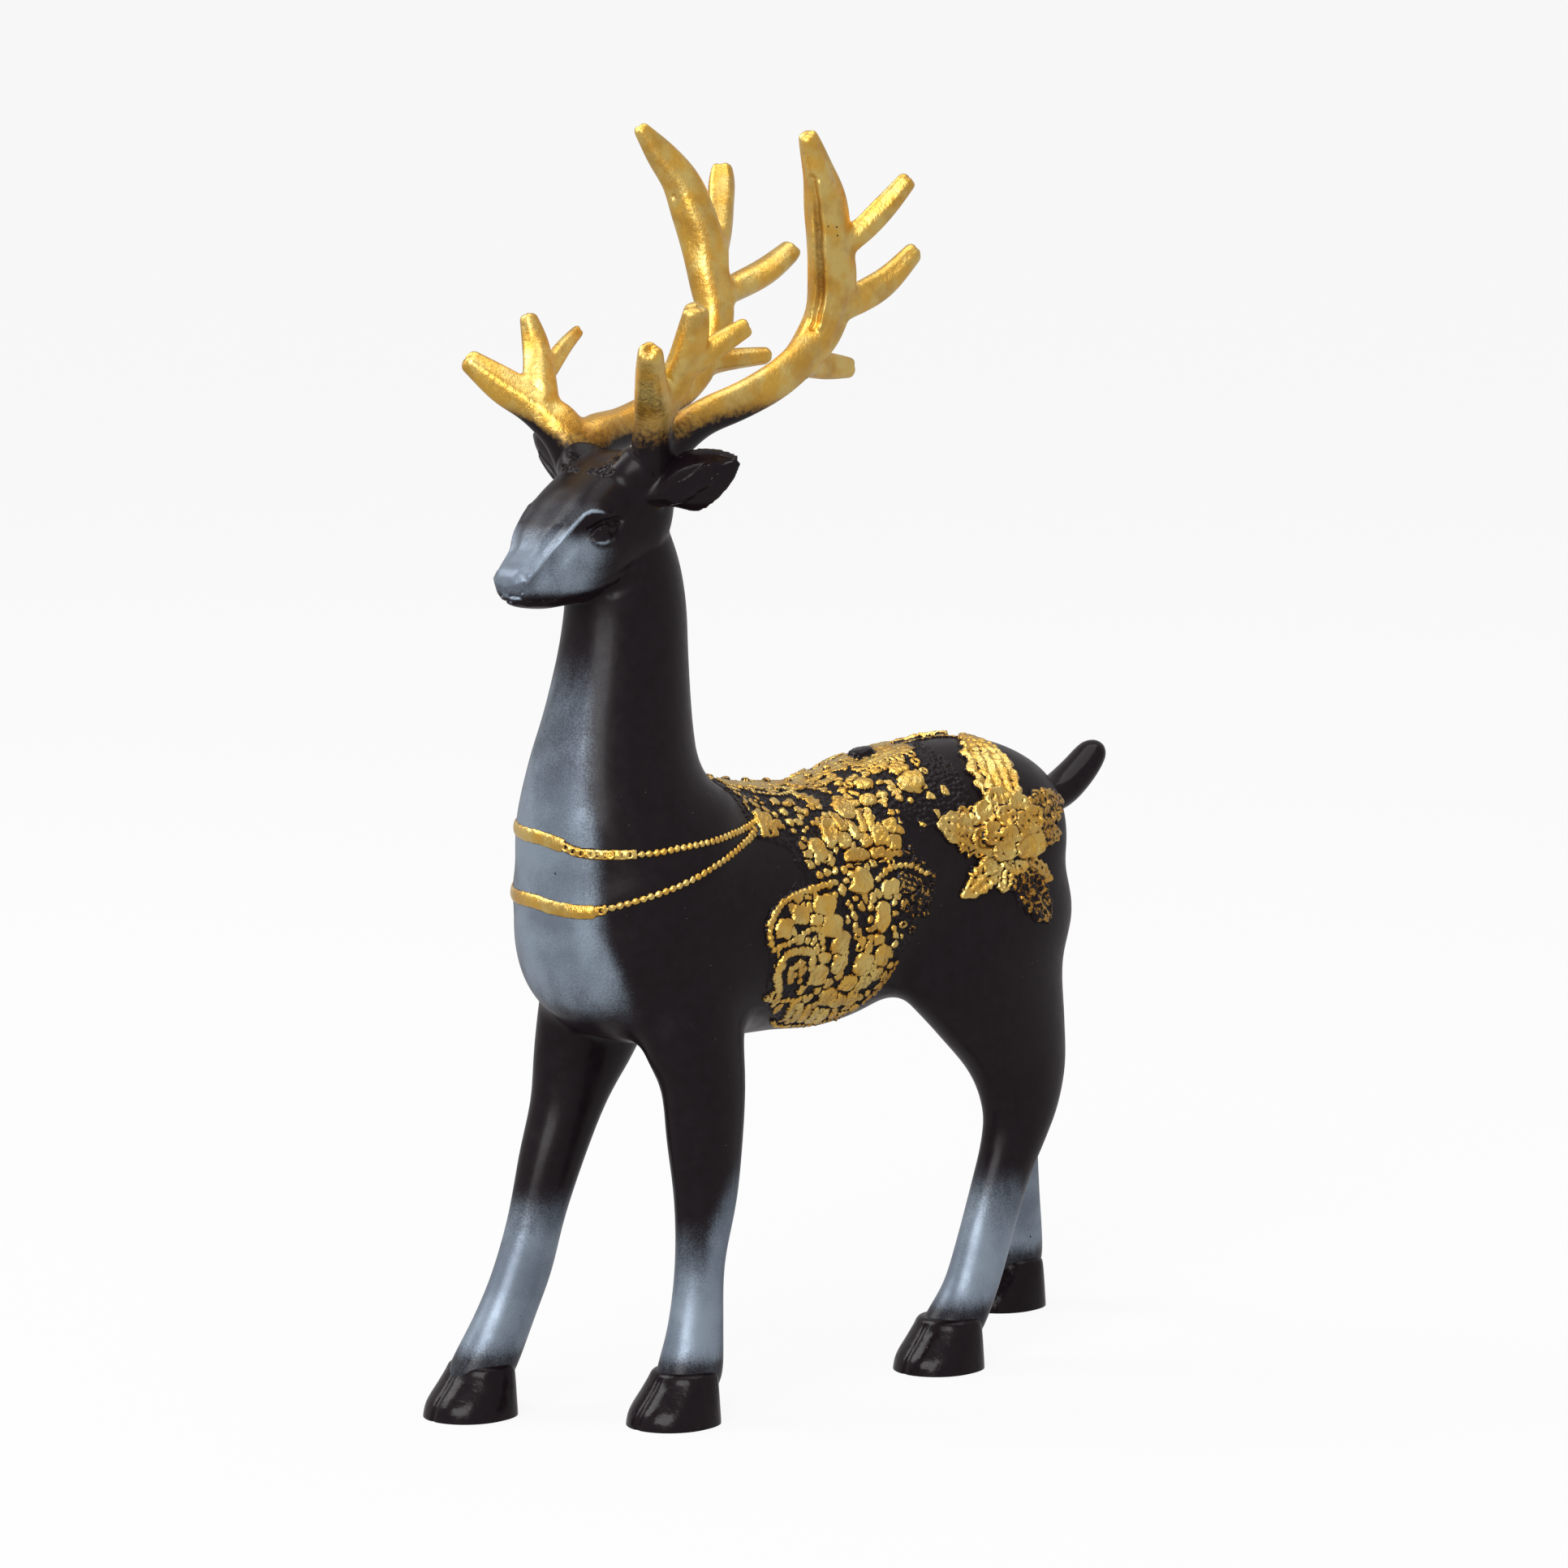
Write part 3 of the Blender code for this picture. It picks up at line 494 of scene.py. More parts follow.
def paint_group(name, inputs, outputs):
    """A node group for one paint, the recipe that fills it, and its sockets inside."""
    group = bpy.data.node_groups.new(name, "ShaderNodeTree")
    group.interface.new_socket("Place", in_out="INPUT", socket_type="NodeSocketVector")
    for label, value in inputs.items():
        group.interface.new_socket(label, in_out="INPUT", socket_type="NodeSocketFloat").default_value = value
    for label in outputs:
        kind = "NodeSocketColor" if label == "Colour" else "NodeSocketFloat"
        group.interface.new_socket(label, in_out="OUTPUT", socket_type=kind)
    into, out = group.nodes.new("NodeGroupInput"), group.nodes.new("NodeGroupOutput")
    return group, Recipe(group, into.outputs["Place"]), into.outputs, out.inputs


# Silver-blue pearl: a spray that breaks up into fine streaks and grain at its edge.
PEARL_DIM = (0.150, 0.181, 0.226)
PEARL_BRIGHT = (0.235, 0.284, 0.342)
silver_spray, mix, given, made = paint_group("silver_spray", {"Mask": 0.0}, ("Share", "Colour"))
cloud = mix.noise(70, 3)
streak = mix.noise(260, 2, 0.6, (1, 1, 0.08))
grain = mix.noise(2600, 1)
edge = given["Mask"]
for part, spread in ((cloud, 0.08), (streak, 0.05), (grain, 0.08)):
    edge = mix.sums("ADD", edge, mix.between(part, 0.3, 0.7, -spread, spread))
mix.put(mix.sums("MULTIPLY", mix.between(edge, 0.0, 1.0), mix.between(given["Mask"], 0.0, 0.5), clamp=True),
        made["Share"])
patch = mix.sums("ADD", cloud, mix.between(grain, 0.3, 0.7, -0.05, 0.05))
mix.put(mix.blend(mix.between(patch, 0.3, 0.7), PEARL_DIM, PEARL_BRIGHT), made["Colour"])

# Gold leaf paint: bright where it lies thick, amber where it is thin, worn through at the edges.
GOLD_DEEP = (0.80, 0.475, 0.085)
GOLD_PALE = (0.80, 0.585, 0.18)
GOLD_THIN = (0.44, 0.205, 0.026)
gold_paint, mix, given, made = paint_group(
    "gold_paint", {"Mask": 0.0, "Wear": 0.2, "Amber": 0.4, "Edge": 0.08},
    ("Share", "Colour", "Roughness", "Height"))
cloud = mix.noise(120, 4, 0.6)
broad = mix.noise(160)
crumb = mix.noise(900, 3, 0.6)
leafing = mix.noise(1900, 2, 0.6, (1, 1, 0.5))
worn = mix.sums("MULTIPLY", mix.between(crumb, 0.25, 0.75, -1.0, 1.0), given["Wear"])
worn = mix.sums("ADD", given["Mask"], worn)
worn = mix.sums("SUBTRACT", worn, mix.sums("SUBTRACT", 0.5, given["Edge"]))
worn = mix.sums("DIVIDE", worn, mix.sums("MULTIPLY", given["Edge"], 2.0))
mix.put(mix.between(worn, 0.0, 1.0), made["Share"])
thin = mix.sums("MULTIPLY", mix.between(cloud, 0.42, 0.66), given["Amber"])
thin = mix.sums("ADD", thin, mix.between(crumb, 0.62, 0.8, 0, 0.25))
thin = mix.sums("ADD", thin, mix.between(given["Mask"], 0.45, 0.95, 0.6, 0.0), clamp=True)
thick = mix.blend(mix.between(broad, 0.38, 0.62), GOLD_DEEP, GOLD_PALE)
mix.put(mix.blend(thin, thick, GOLD_THIN), made["Colour"])
mix.put(mix.between(leafing, 0.3, 0.7, 0.26, 0.44), made["Roughness"])
mix.put(mix.sums("ADD", leafing, mix.sums("MULTIPLY", crumb, 1.5)), made["Height"])

# Dust and pinholes that every cast and sprayed surface of it shows.
cast_specks, mix, given, made = paint_group("cast_specks", {"Size": 260.0}, ("Pinhole", "Dust", "Height"))
few = mix.between(mix.noise(90, 1), 0.6, 0.64)
mix.put(mix.sums("MULTIPLY", mix.between(mix.cells(given["Size"]), 0.09, 0.05), few), made["Pinhole"])
some = mix.between(mix.noise(210), 0.56, 0.66)
mix.put(mix.sums("MULTIPLY", mix.between(mix.cells(620), 0.07, 0.04), some), made["Dust"])
mix.put(mix.noise(340, 3, 0.55), made["Height"])

# The enamel, the dust and pinholes in it, and the thin lacquer over it, which lies thicker on gold.
BLACK = (0.0056, 0.0032, 0.0044)
BLACK_SPECULAR = 0.14
DUST = (0.33, 0.31, 0.30)
PINHOLE = (0.006, 0.004, 0.004)
LACQUER = 0.035
LACQUER_ON_GOLD = 0.14
LACQUER_ROUGHNESS = 0.14
LEAF_DEPTH = 0.18 * MM


def enamelled(name, roughness=0.33, glossy=0.16, lumps=0.05, wear=0.16, amber=0.35, leaf=0.35, edge=0.08):
    """Black enamel over the casting, with the spray, its painted highlights and the gold laid over it by their
    masks.
    """
    material = bpy.data.materials.new(name)
    material.use_nodes = True
    tree = material.node_tree
    mix = Recipe(tree, tree.nodes.new("ShaderNodeTexCoord").outputs["Object"])
    shader = tree.nodes["Principled BSDF"].inputs
    masks = {}
    for label in ("spray_and_highlights", "gold", "gloss"):
        node = mix.node("Attribute")
        node.attribute_name = label
        masks[label] = node.outputs["Fac"]

    def used(group, **values):
        node = mix.node("Group")
        node.node_tree = group
        for label, value in {"Place": mix.place, **values}.items():
            mix.put(value, node.inputs[label])
        return node.outputs

    spray_and_highlights = used(silver_spray, Mask=masks["spray_and_highlights"])
    gold = used(gold_paint, Mask=masks["gold"], Wear=wear, Amber=amber, Edge=edge)
    specks = used(cast_specks)
    ground = mix.blend(mix.between(specks["Height"], 0.3, 0.7), BLACK, tuple(value * 1.3 for value in BLACK))
    for share, colour in ((spray_and_highlights["Share"], spray_and_highlights["Colour"]), (mix.sums("MULTIPLY", specks["Dust"], 0.5), DUST),
                          (gold["Share"], gold["Colour"]), (specks["Pinhole"], PINHOLE)):
        ground = mix.blend(share, ground, colour)
    mix.put(ground, shader["Base Color"])
    metal = mix.sums("MAXIMUM", gold["Share"], mix.sums("MULTIPLY", spray_and_highlights["Share"], 0.55))
    mix.put(mix.sums("MULTIPLY", metal, mix.sums("SUBTRACT", 1.0, specks["Pinhole"])), shader["Metallic"])
    rough = mix.between(masks["gloss"], 0.0, 1.0, roughness, glossy)
    rough = mix.sums("ADD", rough, mix.between(specks["Height"], 0.3, 0.7, -0.03, 0.04))
    rough = mix.sums("ADD", rough, mix.sums("MULTIPLY", spray_and_highlights["Share"], 0.1))
    on_gold = mix.sums("ADD", gold["Roughness"], roughness - 0.32)
    mix.put(mix.node("Mix", Factor=gold["Share"], A=rough, B=on_gold).outputs["Result"], shader["Roughness"])
    shader["Specular IOR Level"].default_value = BLACK_SPECULAR
    mix.put(mix.sums("MULTIPLY_ADD", gold["Share"], LACQUER_ON_GOLD, LACQUER), shader["Coat Weight"])
    shader["Coat Roughness"].default_value = LACQUER_ROUGHNESS
    cast_grain = mix.node("Bump", Strength=1.0, Distance=lumps * MM,
                          Height=mix.sums("SUBTRACT", specks["Height"], specks["Pinhole"]))
    leafed = mix.node("Bump", Strength=leaf, Distance=LEAF_DEPTH, Normal=cast_grain.outputs["Normal"],
                      Height=mix.sums("MULTIPLY", gold["Height"], gold["Share"]))
    mix.put(leafed.outputs["Normal"], shader["Normal"])
    return material


def finished(piece, material):
    piece.data.materials.clear()
    piece.data.materials.append(material)
    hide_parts("deer")
    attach(piece, "root")


finished(body, enamelled("black_enamel"))
skin = BVHTree.FromObject(body, bpy.context.evaluated_depsgraph_get())

# Saddle blanket and its flaps: carved in low relief on the master and cast with the body. Plates,
# beads, rings and a roped border stand on a rough black ground, and gold is brushed over them.

TRUNK_AXIS = 118.0
WRAP_RADIUS = 29.0
SPINE = WRAP_RADIUS * math.pi / 2
# The blanket's outline as (mm along the back, mm up round the trunk from its side).
BLANKET_EDGE = (
    (-33, 46), (-32, 37), (-29, 31), (-28, 20), (-20, 16.5), (-17.5, 8.5), (-24, 6.2), (-29.5, 3),
    (-31.8, -4), (-30, -10), (-28, -18), (-24, -24), (-19, -30), (-8, -37), (4, -37.5), (11, -30),
    (16, -20), (20.5, -9), (26, -2), (27.5, 6), (22.5, 11), (21, 20), (25, 16), (36, 17), (43, 22),
    (45, 32), (44, 46),
)
# Raised work by kind: mm along the back, mm up, length, width, turn in degrees.
SADDLE_WORK = {
    "long": (
        (-16.5, 41, 16, 5.5, -4), (0, 43.6, 20, 4.2, 0), (16, 44.6, 15, 4.6, -2),
        (29.6, 41.3, 19, 4.4, 5), (8, 39.8, 12, 2.6, 4), (30, 45, 14, 3, 0),
    ),
    "gem": ((28.2, 29.9, 8.6, 6.2, 12),),
    "plate": (
        (28.2, 34.8, 5.4, 4, 12), (11.6, 17.2, 4.6, 5.8, -12), (15.6, 19.4, 3.8, 4.4, -12),
        (15.2, 14.8, 3.9, 4.2, -9), (-0.6, 17.4, 4.4, 4.9, -4), (1.4, 22.2, 3.6, 4.6, -5),
        (2.1, 12.8, 8.6, 3.6, 1), (9.2, 12.7, 5.2, 3, 0), (6.6, 16.6, 3.8, 3.8, -9),
        (10.6, 3, 5.4, 4.4, 10), (16.4, 3.4, 5.6, 5.2, -7), (21.3, -0.2, 4.6, 4.7, 8),
        (-20.5, -0.4, 5.4, 4.6, -7), (-26, -3, 5, 4.8, -14), (-12, 1, 7.4, 5.4, -7),
        (-9.8, -4.4, 6.6, 5.6, -12), (-6.2, -9.2, 5.6, 5.6, -7), (-15.4, -2.2, 3.8, 3.2, -7),
        (7.4, -4.2, 4.6, 7.6, -7), (8.8, -14.2, 4.8, 5.4, -12), (6.6, -9.9, 3.6, 3, -7),
        (-11.9, -16.6, 5.6, 5, -8), (-5.4, -14.6, 4.8, 4.8, -7), (2.6, -15.6, 5.4, 5.6, -10),
        (-5.2, -23.6, 5.6, 4.6, -14), (-0.4, -20.4, 4.8, 4.2, -7), (4.6, -20.6, 4.6, 4.2, -18),
        (8.6, -19.2, 3.8, 3.4, -9), (3.4, -25.4, 4.4, 4.2, -22), (-10.6, -12.3, 3.2, 2.8, -8),
        (-0.6, -25.6, 4, 4.2, -14),
    ),
    "oval": (
        (16.5, 33.7, 5, 4, -30), (14, 28.1, 4.6, 3.5, -20), (6.4, 27.6, 6, 7.6, -15),
        (-10, 15.4, 5.6, 6.8, -4),
    ),
    "crescent": ((-3, 31.8, 9, 4.2, -62),),
    "clasp": ((-24.2, 23.4, 6.2, 7.8, -3),),
    "petal": ((-4, 20, 4.8, 9.4, -22),),
    "rib": (
        (8.3, 22.4, 2.1, 7.6, -14), (10.8, 22.4, 2.1, 7.2, -14), (4.6, 20, 2.8, 5.6, 4),
        (-7.4, 12.4, 2, 3.6, 0), (-15, -27, 2.2, 6.6, 18), (-11.9, -27.9, 2.2, 7, 16),
        (-8.8, -28.8, 2.2, 6.6, 14), (-5.4, -30, 2.2, 6.2, 10), (-2, -31, 2.2, 5.6, 4),
    ),
    "knot": ((1.4, 5.8, 8, 6.8, -6),),
}
# Beads and rings: mm along the back, mm up, width.
SADDLE_ROUNDS = {
    "ring": (
        (21.7, 37.8, 2.3), (24.2, 38.1, 2.3), (26.6, 37.7, 2.3), (28.9, 37.9, 2.4), (31.6, 38, 2.6),
        (37.1, 42, 2.4), (35.2, 38.2, 2.8), (34, 35.1, 2.7), (33.6, 32, 2.4), (12.8, 34.9, 2.6),
        (12.4, 9.6, 2.4), (17.8, 23, 2.2), (6.6, 10, 2.6), (-0.6, -8.2, 2.6), (0.4, -11.2, 2.6),
        (15.6, -2.9, 2.9), (19, -5.2, 2.5), (14.8, -7.2, 2.4), (17.9, -8.8, 2.3), (20, 8.2, 2.3),
        (11.8, -20.7, 2.5), (22.6, -5.4, 2.2), (24.4, 1.8, 2.2), (23.8, -2.6, 2.2),
    ),
    "bead": (
        (20.5, 32.6, 2.2), (22, 29.6, 2.4), (18.8, 28.6, 2.6), (17.9, 26.1, 2.2), (22.5, 26.3, 2.6),
        (25, 25, 2), (11.4, 37, 2.6), (10.1, 33.6, 2.4), (16.7, 37.3, 2), (19, 36.2, 2),
        (-4.8, 36.4, 2.4), (-10.8, 30.4, 2.8), (-18.2, 26.4, 2.2), (-14.6, 27.3, 2.9), (-15.1, 23.8, 2.8),
        (-15.4, 21, 2.2), (-18.2, 22.7, 2.1), (-7.4, 27.2, 2.8), (-13.4, 18.5, 2.3), (-11.9, 20.7, 1.9),
        (-10.2, 21.9, 1.9), (-3, 24.8, 2.1), (-5, 24.4, 2), (-7.4, 23.2, 2), (0.3, 26.1, 2.2),
        (-14.1, 11.2, 2.5), (-12.2, 8.6, 2.7), (-9.3, 9, 2.7), (-6.4, 9.2, 2.5), (-3.5, 9.2, 2.6),
        (-6.4, 11.8, 2), (14, 11.8, 2.1), (16.2, 11.6, 2), (-11.8, 11.9, 2.2), (-5.8, 4, 2.7),
        (-8.3, 3, 2.6), (4.6, 1.6, 2.4), (-3.6, 6.4, 2.2), (-1.4, 1.4, 2.2), (-2.1, -2.9, 2.3),
        (-1.5, -5.4, 2.3), (3.8, -1.5, 2.4), (3.4, -4.4, 2.2), (3.1, -7, 2.1), (4, -9.9, 2.1),
        (-9.7, -21.3, 2.6), (-15.6, -20.7, 2.4), (-7.6, -18.8, 2), (-7.4, -14.4, 1.9),
        (-17.3, -17.3, 2.1), (-13.2, -22.4, 2), (11.7, -1.2, 2.3), (11.6, -4, 2), (11.6, -7.6, 2.3),
        (12.6, -12, 2.6), (14.8, -10.2, 1.9), (24.4, 5.4, 2.1), (5.8, -16.9, 2), (12.9, -17.6, 2.6),
        (8.6, -24.6, 2.4),
    ),
}
# Cords of beads: bead width, spacing, and the path they follow.
SADDLE_CORDS = (
    (2.3, 1.5, ((-7.5, 6.2), (-15.2, 5.4), (-22.6, 4.2), (-27.1, 2.2), (-29.6, -0.6), (-30.2, -4.2),
                (-28.8, -7.6))),
    (2.1, 1.7, ((7.2, 5.6), (10.9, 7.6), (14.8, 8.4), (18.6, 7.8), (23.0, 5.4))),
    (2.1, 1.6, ((-28.4, -7.9), (-24.0, -7.0), (-20.1, -5.6), (-16.7, -4.4), (-13.0, -5.2), (-12.4, -8.4),
                (-11.6, -11))),
    (2.6, 1.2, ((-23.2, -19.0), (-25.4, -15.2), (-25.3, -11.2), (-22.0, -9.4), (-15.8, -10.4), (-14.6, -15.0))),
    (2.2, 1.2, ((-20.6, -17.0), (-21.6, -13.8), (-18.6, -12.9), (-17.6, -16.4))),
    (1.9, 1.6, ((-26.5, -21.0), (-22.0, -22.4), (-18.2, -22.6), (-15.6, -23.4))),
    (2.2, 1.7, ((15.0, -17.4), (12.9, -22.8), (9.7, -27.4), (4.6, -31.6), (-1.5, -34.8), (-8.0, -34.6))),
    (1.9, 1.7, ((-17.0, -31.0), (-14.0, -33.2), (-9.0, -34.8))),
    (2.0, 1.6, ((-4.0, 0.6), (-2.4, -1.4), (-1.6, -4.0))),
    (1.7, 1.5, ((-29.0, 43.5), (-24.0, 41.0), (-19.6, 37.6), (-15.5, 35.6), (-9.2, 35.0), (-2.6, 37.4),
                (2.0, 39.4))),
    (1.6, 1.6, ((-28.5, 34.0), (-24.0, 32.4), (-19.0, 30.6))),
    (1.8, 1.6, ((0.4, 41.0), (6.0, 36.6), (6.7, 33.2))),
)


def on_trunk(along, up):
    """The axis point and the direction of a place on the trunk."""
    angle = up / WRAP_RADIUS
    return Vector((0, along, TRUNK_AXIS)), Vector((math.cos(angle), 0, math.sin(angle)))


def ripple(along, up, size, seed):
    """An even, irregular swell between -1 and 1."""
    dice = random.Random(seed)
    total = np.zeros(along.shape)
    for _ in range(7):
        turn, shift, wave = dice.uniform(0, math.pi), dice.uniform(0, 6), size * dice.uniform(0.7, 1.5)
        total += np.sin((along * math.cos(turn) + up * math.sin(turn)) * 2 * math.pi / wave + shift)
    return total / 4


class Sheet:
    """A fine grid laid on the casting, with the height and the gold of its relief."""

    REACH = 60  # mm from the axis at which a ray starts, clear of the skin
    SUNK = -0.6  # mm above the skin, so under it, before anything is raised
    CUT = -0.35  # what stays lower than this is cut away
    CREVICE = 1.1  # mm round a place that its height is set against
    CREVICE_SHADE_DEPTHS = (0.05, 0.24)  # mm that a crevice lies lower, where gold thins and where it ends: the black ground showing there is partly real and partly painted shade

    def __init__(self, name, low, high, step, aim, unevenness=0.26):
        self.low, self.step = low, step
        columns, rows = (round((end - start) / step) for start, end in zip(low, high))
        form = bmesh.new()
        bmesh.ops.create_grid(form, x_segments=columns, y_segments=rows, size=0.5)
        mesh = hardened(form, bpy.data.meshes.new(name))
        self.piece = placed(name, mesh)
        flat = np.empty(len(mesh.vertices) * 3)
        mesh.vertices.foreach_get("co", flat)
        flat = flat.reshape(-1, 3)
        self.column = np.rint((flat[:, 0] + 0.5) * columns).astype(int)
        self.row = np.rint((flat[:, 1] + 0.5) * rows).astype(int)
        self.along, self.up = np.meshgrid(low[0] + step * np.arange(columns + 1),
                                          low[1] + step * np.arange(rows + 1))
        self.base = np.zeros((*self.along.shape, 3))
        self.missed = np.zeros(self.along.shape, dtype=bool)
        for row in range(rows + 1):
            for column in range(columns + 1):
                axis, outward = aim(low[0] + step * column, low[1] + step * row)
                start = (axis + outward * self.REACH - FOOTPRINT_MIDDLE) * MM
                hit = skin.ray_cast(start, -outward, self.REACH * MM)[0]
                if hit is None:
                    self.missed[row, column] = True
                    hit = (axis - FOOTPRINT_MIDDLE) * MM
                self.base[row, column] = hit
        self.base = self.base / MM + np.array(FOOTPRINT_MIDDLE)
        eased = np.pad(self.base, ((1, 1), (1, 1), (0, 0)), mode="edge")
        self.base = (eased[1:-1, 1:-1] * 2 + eased[:-2, 1:-1] + eased[2:, 1:-1]
                     + eased[1:-1, :-2] + eased[1:-1, 2:]) / 6
        normal = np.cross(np.gradient(self.base, axis=1), np.gradient(self.base, axis=0))
        self.outward = normal / np.maximum(np.linalg.norm(normal, axis=2, keepdims=True), 1e-9)
        self.height = np.full(self.along.shape, self.SUNK)
        sway = [unevenness * ripple(self.along, self.up, 3.6, seed) for seed in (11, 12)]
        self.along, self.up = self.along + sway[0], self.up + sway[1]
        self.gold = np.zeros(self.along.shape)

    def near(self, along, up, reach):
        """The part of the grid within reach of a place."""
        ends = []
        count_up, count_along = self.along.shape
        for place, low, count in ((up, self.low[1], count_up), (along, self.low[0], count_along)):
            first = int((place - reach - low) / self.step)
            last = int((place + reach - low) / self.step) + 2
            ends.append(slice(min(max(first, 0), count), min(max(last, 0), count)))
        return tuple(ends)

    def raise_to(self, part, ground, rise, gold):
        """Lets a form stand out of the ground, and gilds it where it is the highest."""
        stands = rise > 0.02
        level = np.where(stands, ground + rise, -9)
        higher = level > self.height[part]
        self.height[part] = np.where(higher, level, self.height[part])
        self.gold[part] = np.where(higher, gold * ramp(rise, 0.25, 0.6), self.gold[part])

    def lay(self, material):
        """Moves the grid to its heights, cuts off what is sunk under the skin, and finishes it."""
        mesh = self.piece.data
        level = np.maximum(self.height, -0.1)
        for _ in range(round(self.CREVICE / self.step)):
            wide = np.pad(level, 1, mode="edge")
            level = (wide[:-2, 1:-1] + wide[2:, 1:-1] + wide[1:-1, :-2] + wide[1:-1, 2:]
                     + wide[1:-1, 1:-1]) / 5
        # Painted shade, partly real: gold is thinned and taken off where the relief lies lower than around it,
        # so the crevices show dark.
        self.gold = self.gold * (1 - ramp(level - self.height, *self.CREVICE_SHADE_DEPTHS))
        laid = self.base + self.outward * self.height[..., None]
        settle(mesh, laid[self.row, self.column])
        painted(mesh, "gold", self.gold[self.row, self.column])
        sunk = ((self.height < self.CUT) | self.missed)[self.row, self.column]
        form = bmesh.new()
        form.from_mesh(mesh)
        form.verts.ensure_lookup_table()
        hidden = [face for face in form.faces if all(sunk[vert.index] for vert in face.verts)]
        bmesh.ops.delete(form, geom=hidden, context="FACES")
        shaded(hardened(form, mesh))
        finished(self.piece, material)


# Raised forms: squareness, height in mm, how much wider than the sketch.
PROFILE = {
    "plate": (3.4, 1.15, 1.1), "long": (5.0, 0.8, 1.1), "clasp": (8.0, 1.3, 1.0), "oval": (2.3, 1.25, 1.12),
    "gem": (2.0, 1.9, 1.0), "rib": (2.6, 1.2, 1.15), "bead": (2.0, 1.1, 0.95), "ring": (2.0, 0.9, 1.05),
    "knot": (2.4, 1.5, 1.1), "crescent": (2.2, 1.0, 1.1), "petal": (2.2, 1.9, 1.06),
}


def emboss(sheet, kind, along, up, long, wide, turn, ground=0.3, gold=1.0, lift=1.0):
    """One raised form of the relief on a sheet."""
    squareness, top, swell = PROFILE[kind]
    long, wide = long * swell, wide * swell
    dice = random.Random(round(along * 31 + up * 17))
    if kind in ("bead", "ring"):
        top = min(top, long * 0.46)
    part = sheet.near(along, up, 0.75 * max(long, wide))
    a, u = sheet.along[part] - along, sheet.up[part] - up
    angle = math.radians(turn)
    reach = (a * math.cos(angle) + u * math.sin(angle)) / (long / 2)
    side = (u * math.cos(angle) - a * math.sin(angle)) / (wide / 2)
    if kind == "crescent":
        side = side + 0.55 * reach**2 - 0.3
    away = (np.abs(reach) ** squareness + np.abs(side) ** squareness) ** (1 / squareness)
    if kind in ("plate", "knot", "long"):
        away = away + 0.09 * ripple(sheet.along[part], sheet.up[part], 3.0, round(along * 7 + up * 3))
    inner = np.clip(1 - away, 0, 1)
    dome = np.sqrt(np.clip(1 - away**2, 0, 1))
    if kind == "bead":
        rise = top * dome
    elif kind == "ring":
        rise = top * np.clip(1 - ((away - 0.66) / 0.36) ** 2, 0, 1)
        gold = gold * (away > 0.4)
    elif kind == "petal":
        rise = (top * np.clip(inner / 0.16, 0, 1) ** 0.6 * (0.5 + 0.5 * away**2)
                * (0.9 + 0.14 * np.cos(side * 10)))
    elif kind in ("gem", "oval", "rib", "knot"):
        rise = top * np.clip(inner / 0.22, 0, 1) ** 0.6 * (0.72 + 0.28 * dome)
    else:
        rise = top * np.clip(inner * min(long, wide) / 0.9, 0, 1) ** 0.7
    if kind == "crescent":
        rise *= 0.8 + 0.2 * np.cos(reach * 16)
    if kind in ("plate", "long", "knot", "oval", "rib"):
        lean = dice.uniform(0, 2 * math.pi)
        tilt = np.clip(reach * math.cos(lean) + side * math.sin(lean), -1.2, 1.2)
        rise *= dice.uniform(0.85, 1.1) + 0.16 * tilt
        rise *= 1 + 0.09 * ripple(a, u, 2.0, dice.randrange(99))
    if kind == "clasp":
        rise *= 1 - 0.75 * ramp(-np.hypot(a + 0.2, u + 2.6), -0.95, -0.55)
    if kind == "long":
        rise *= 0.9 + 0.1 * np.cos(side * 8)
    sheet.raise_to(part, ground, rise * lift, gold)


def string_of(sheet, width, spacing, path, **how):
    """A cord of beads along a path."""
    fine = np.array(flowing(path, 8))
    gone = np.concatenate([[0], np.cumsum(np.linalg.norm(np.diff(fine, axis=0), axis=1))])
    for distance in np.arange(0, gone[-1], spacing):
        along, up = (np.interp(distance, gone, fine[:, axis]) for axis in (0, 1))
        emboss(sheet, "bead", along, up, width, width, 0, **how)


def outline_depth(along, up, outline):
    """How deep a place lies inside an outline, in mm, and below zero outside it."""
    away = np.full(along.shape, np.inf)
    inside = np.zeros(along.shape, dtype=bool)
    for (x0, y0), (x1, y1) in zip(outline, (*outline[1:], outline[0])):
        run = max((x1 - x0) ** 2 + (y1 - y0) ** 2, 1e-9)
        t = np.clip(((along - x0) * (x1 - x0) + (up - y0) * (y1 - y0)) / run, 0, 1)
        away = np.minimum(away, np.hypot(along - x0 - t * (x1 - x0), up - y0 - t * (y1 - y0)))
        if y0 != y1:
            crosses = ((y0 > up) != (y1 > up)) & (along < (x1 - x0) * (up - y0) / (y1 - y0) + x0)
            inside ^= crosses
    return np.where(inside, away, -away)


saddle_forms = [(kind, *row) for kind, rows in SADDLE_WORK.items() for row in rows]
saddle_forms += [(kind, along, up, width, width, 0)
                 for kind, rows in SADDLE_ROUNDS.items() for along, up, width in rows]
# Where the small scales fill the ground: share of them, and two corners of a box.
SCALED = ((0.6, (-24, 37.5), (36, 60)), (0.5, (0, 26), (33, 38)))
SCALE_SIZE = 2.7
SPINE_BEADS = (-24, -18.5, -12, -5, 2, 9, 15, 20)


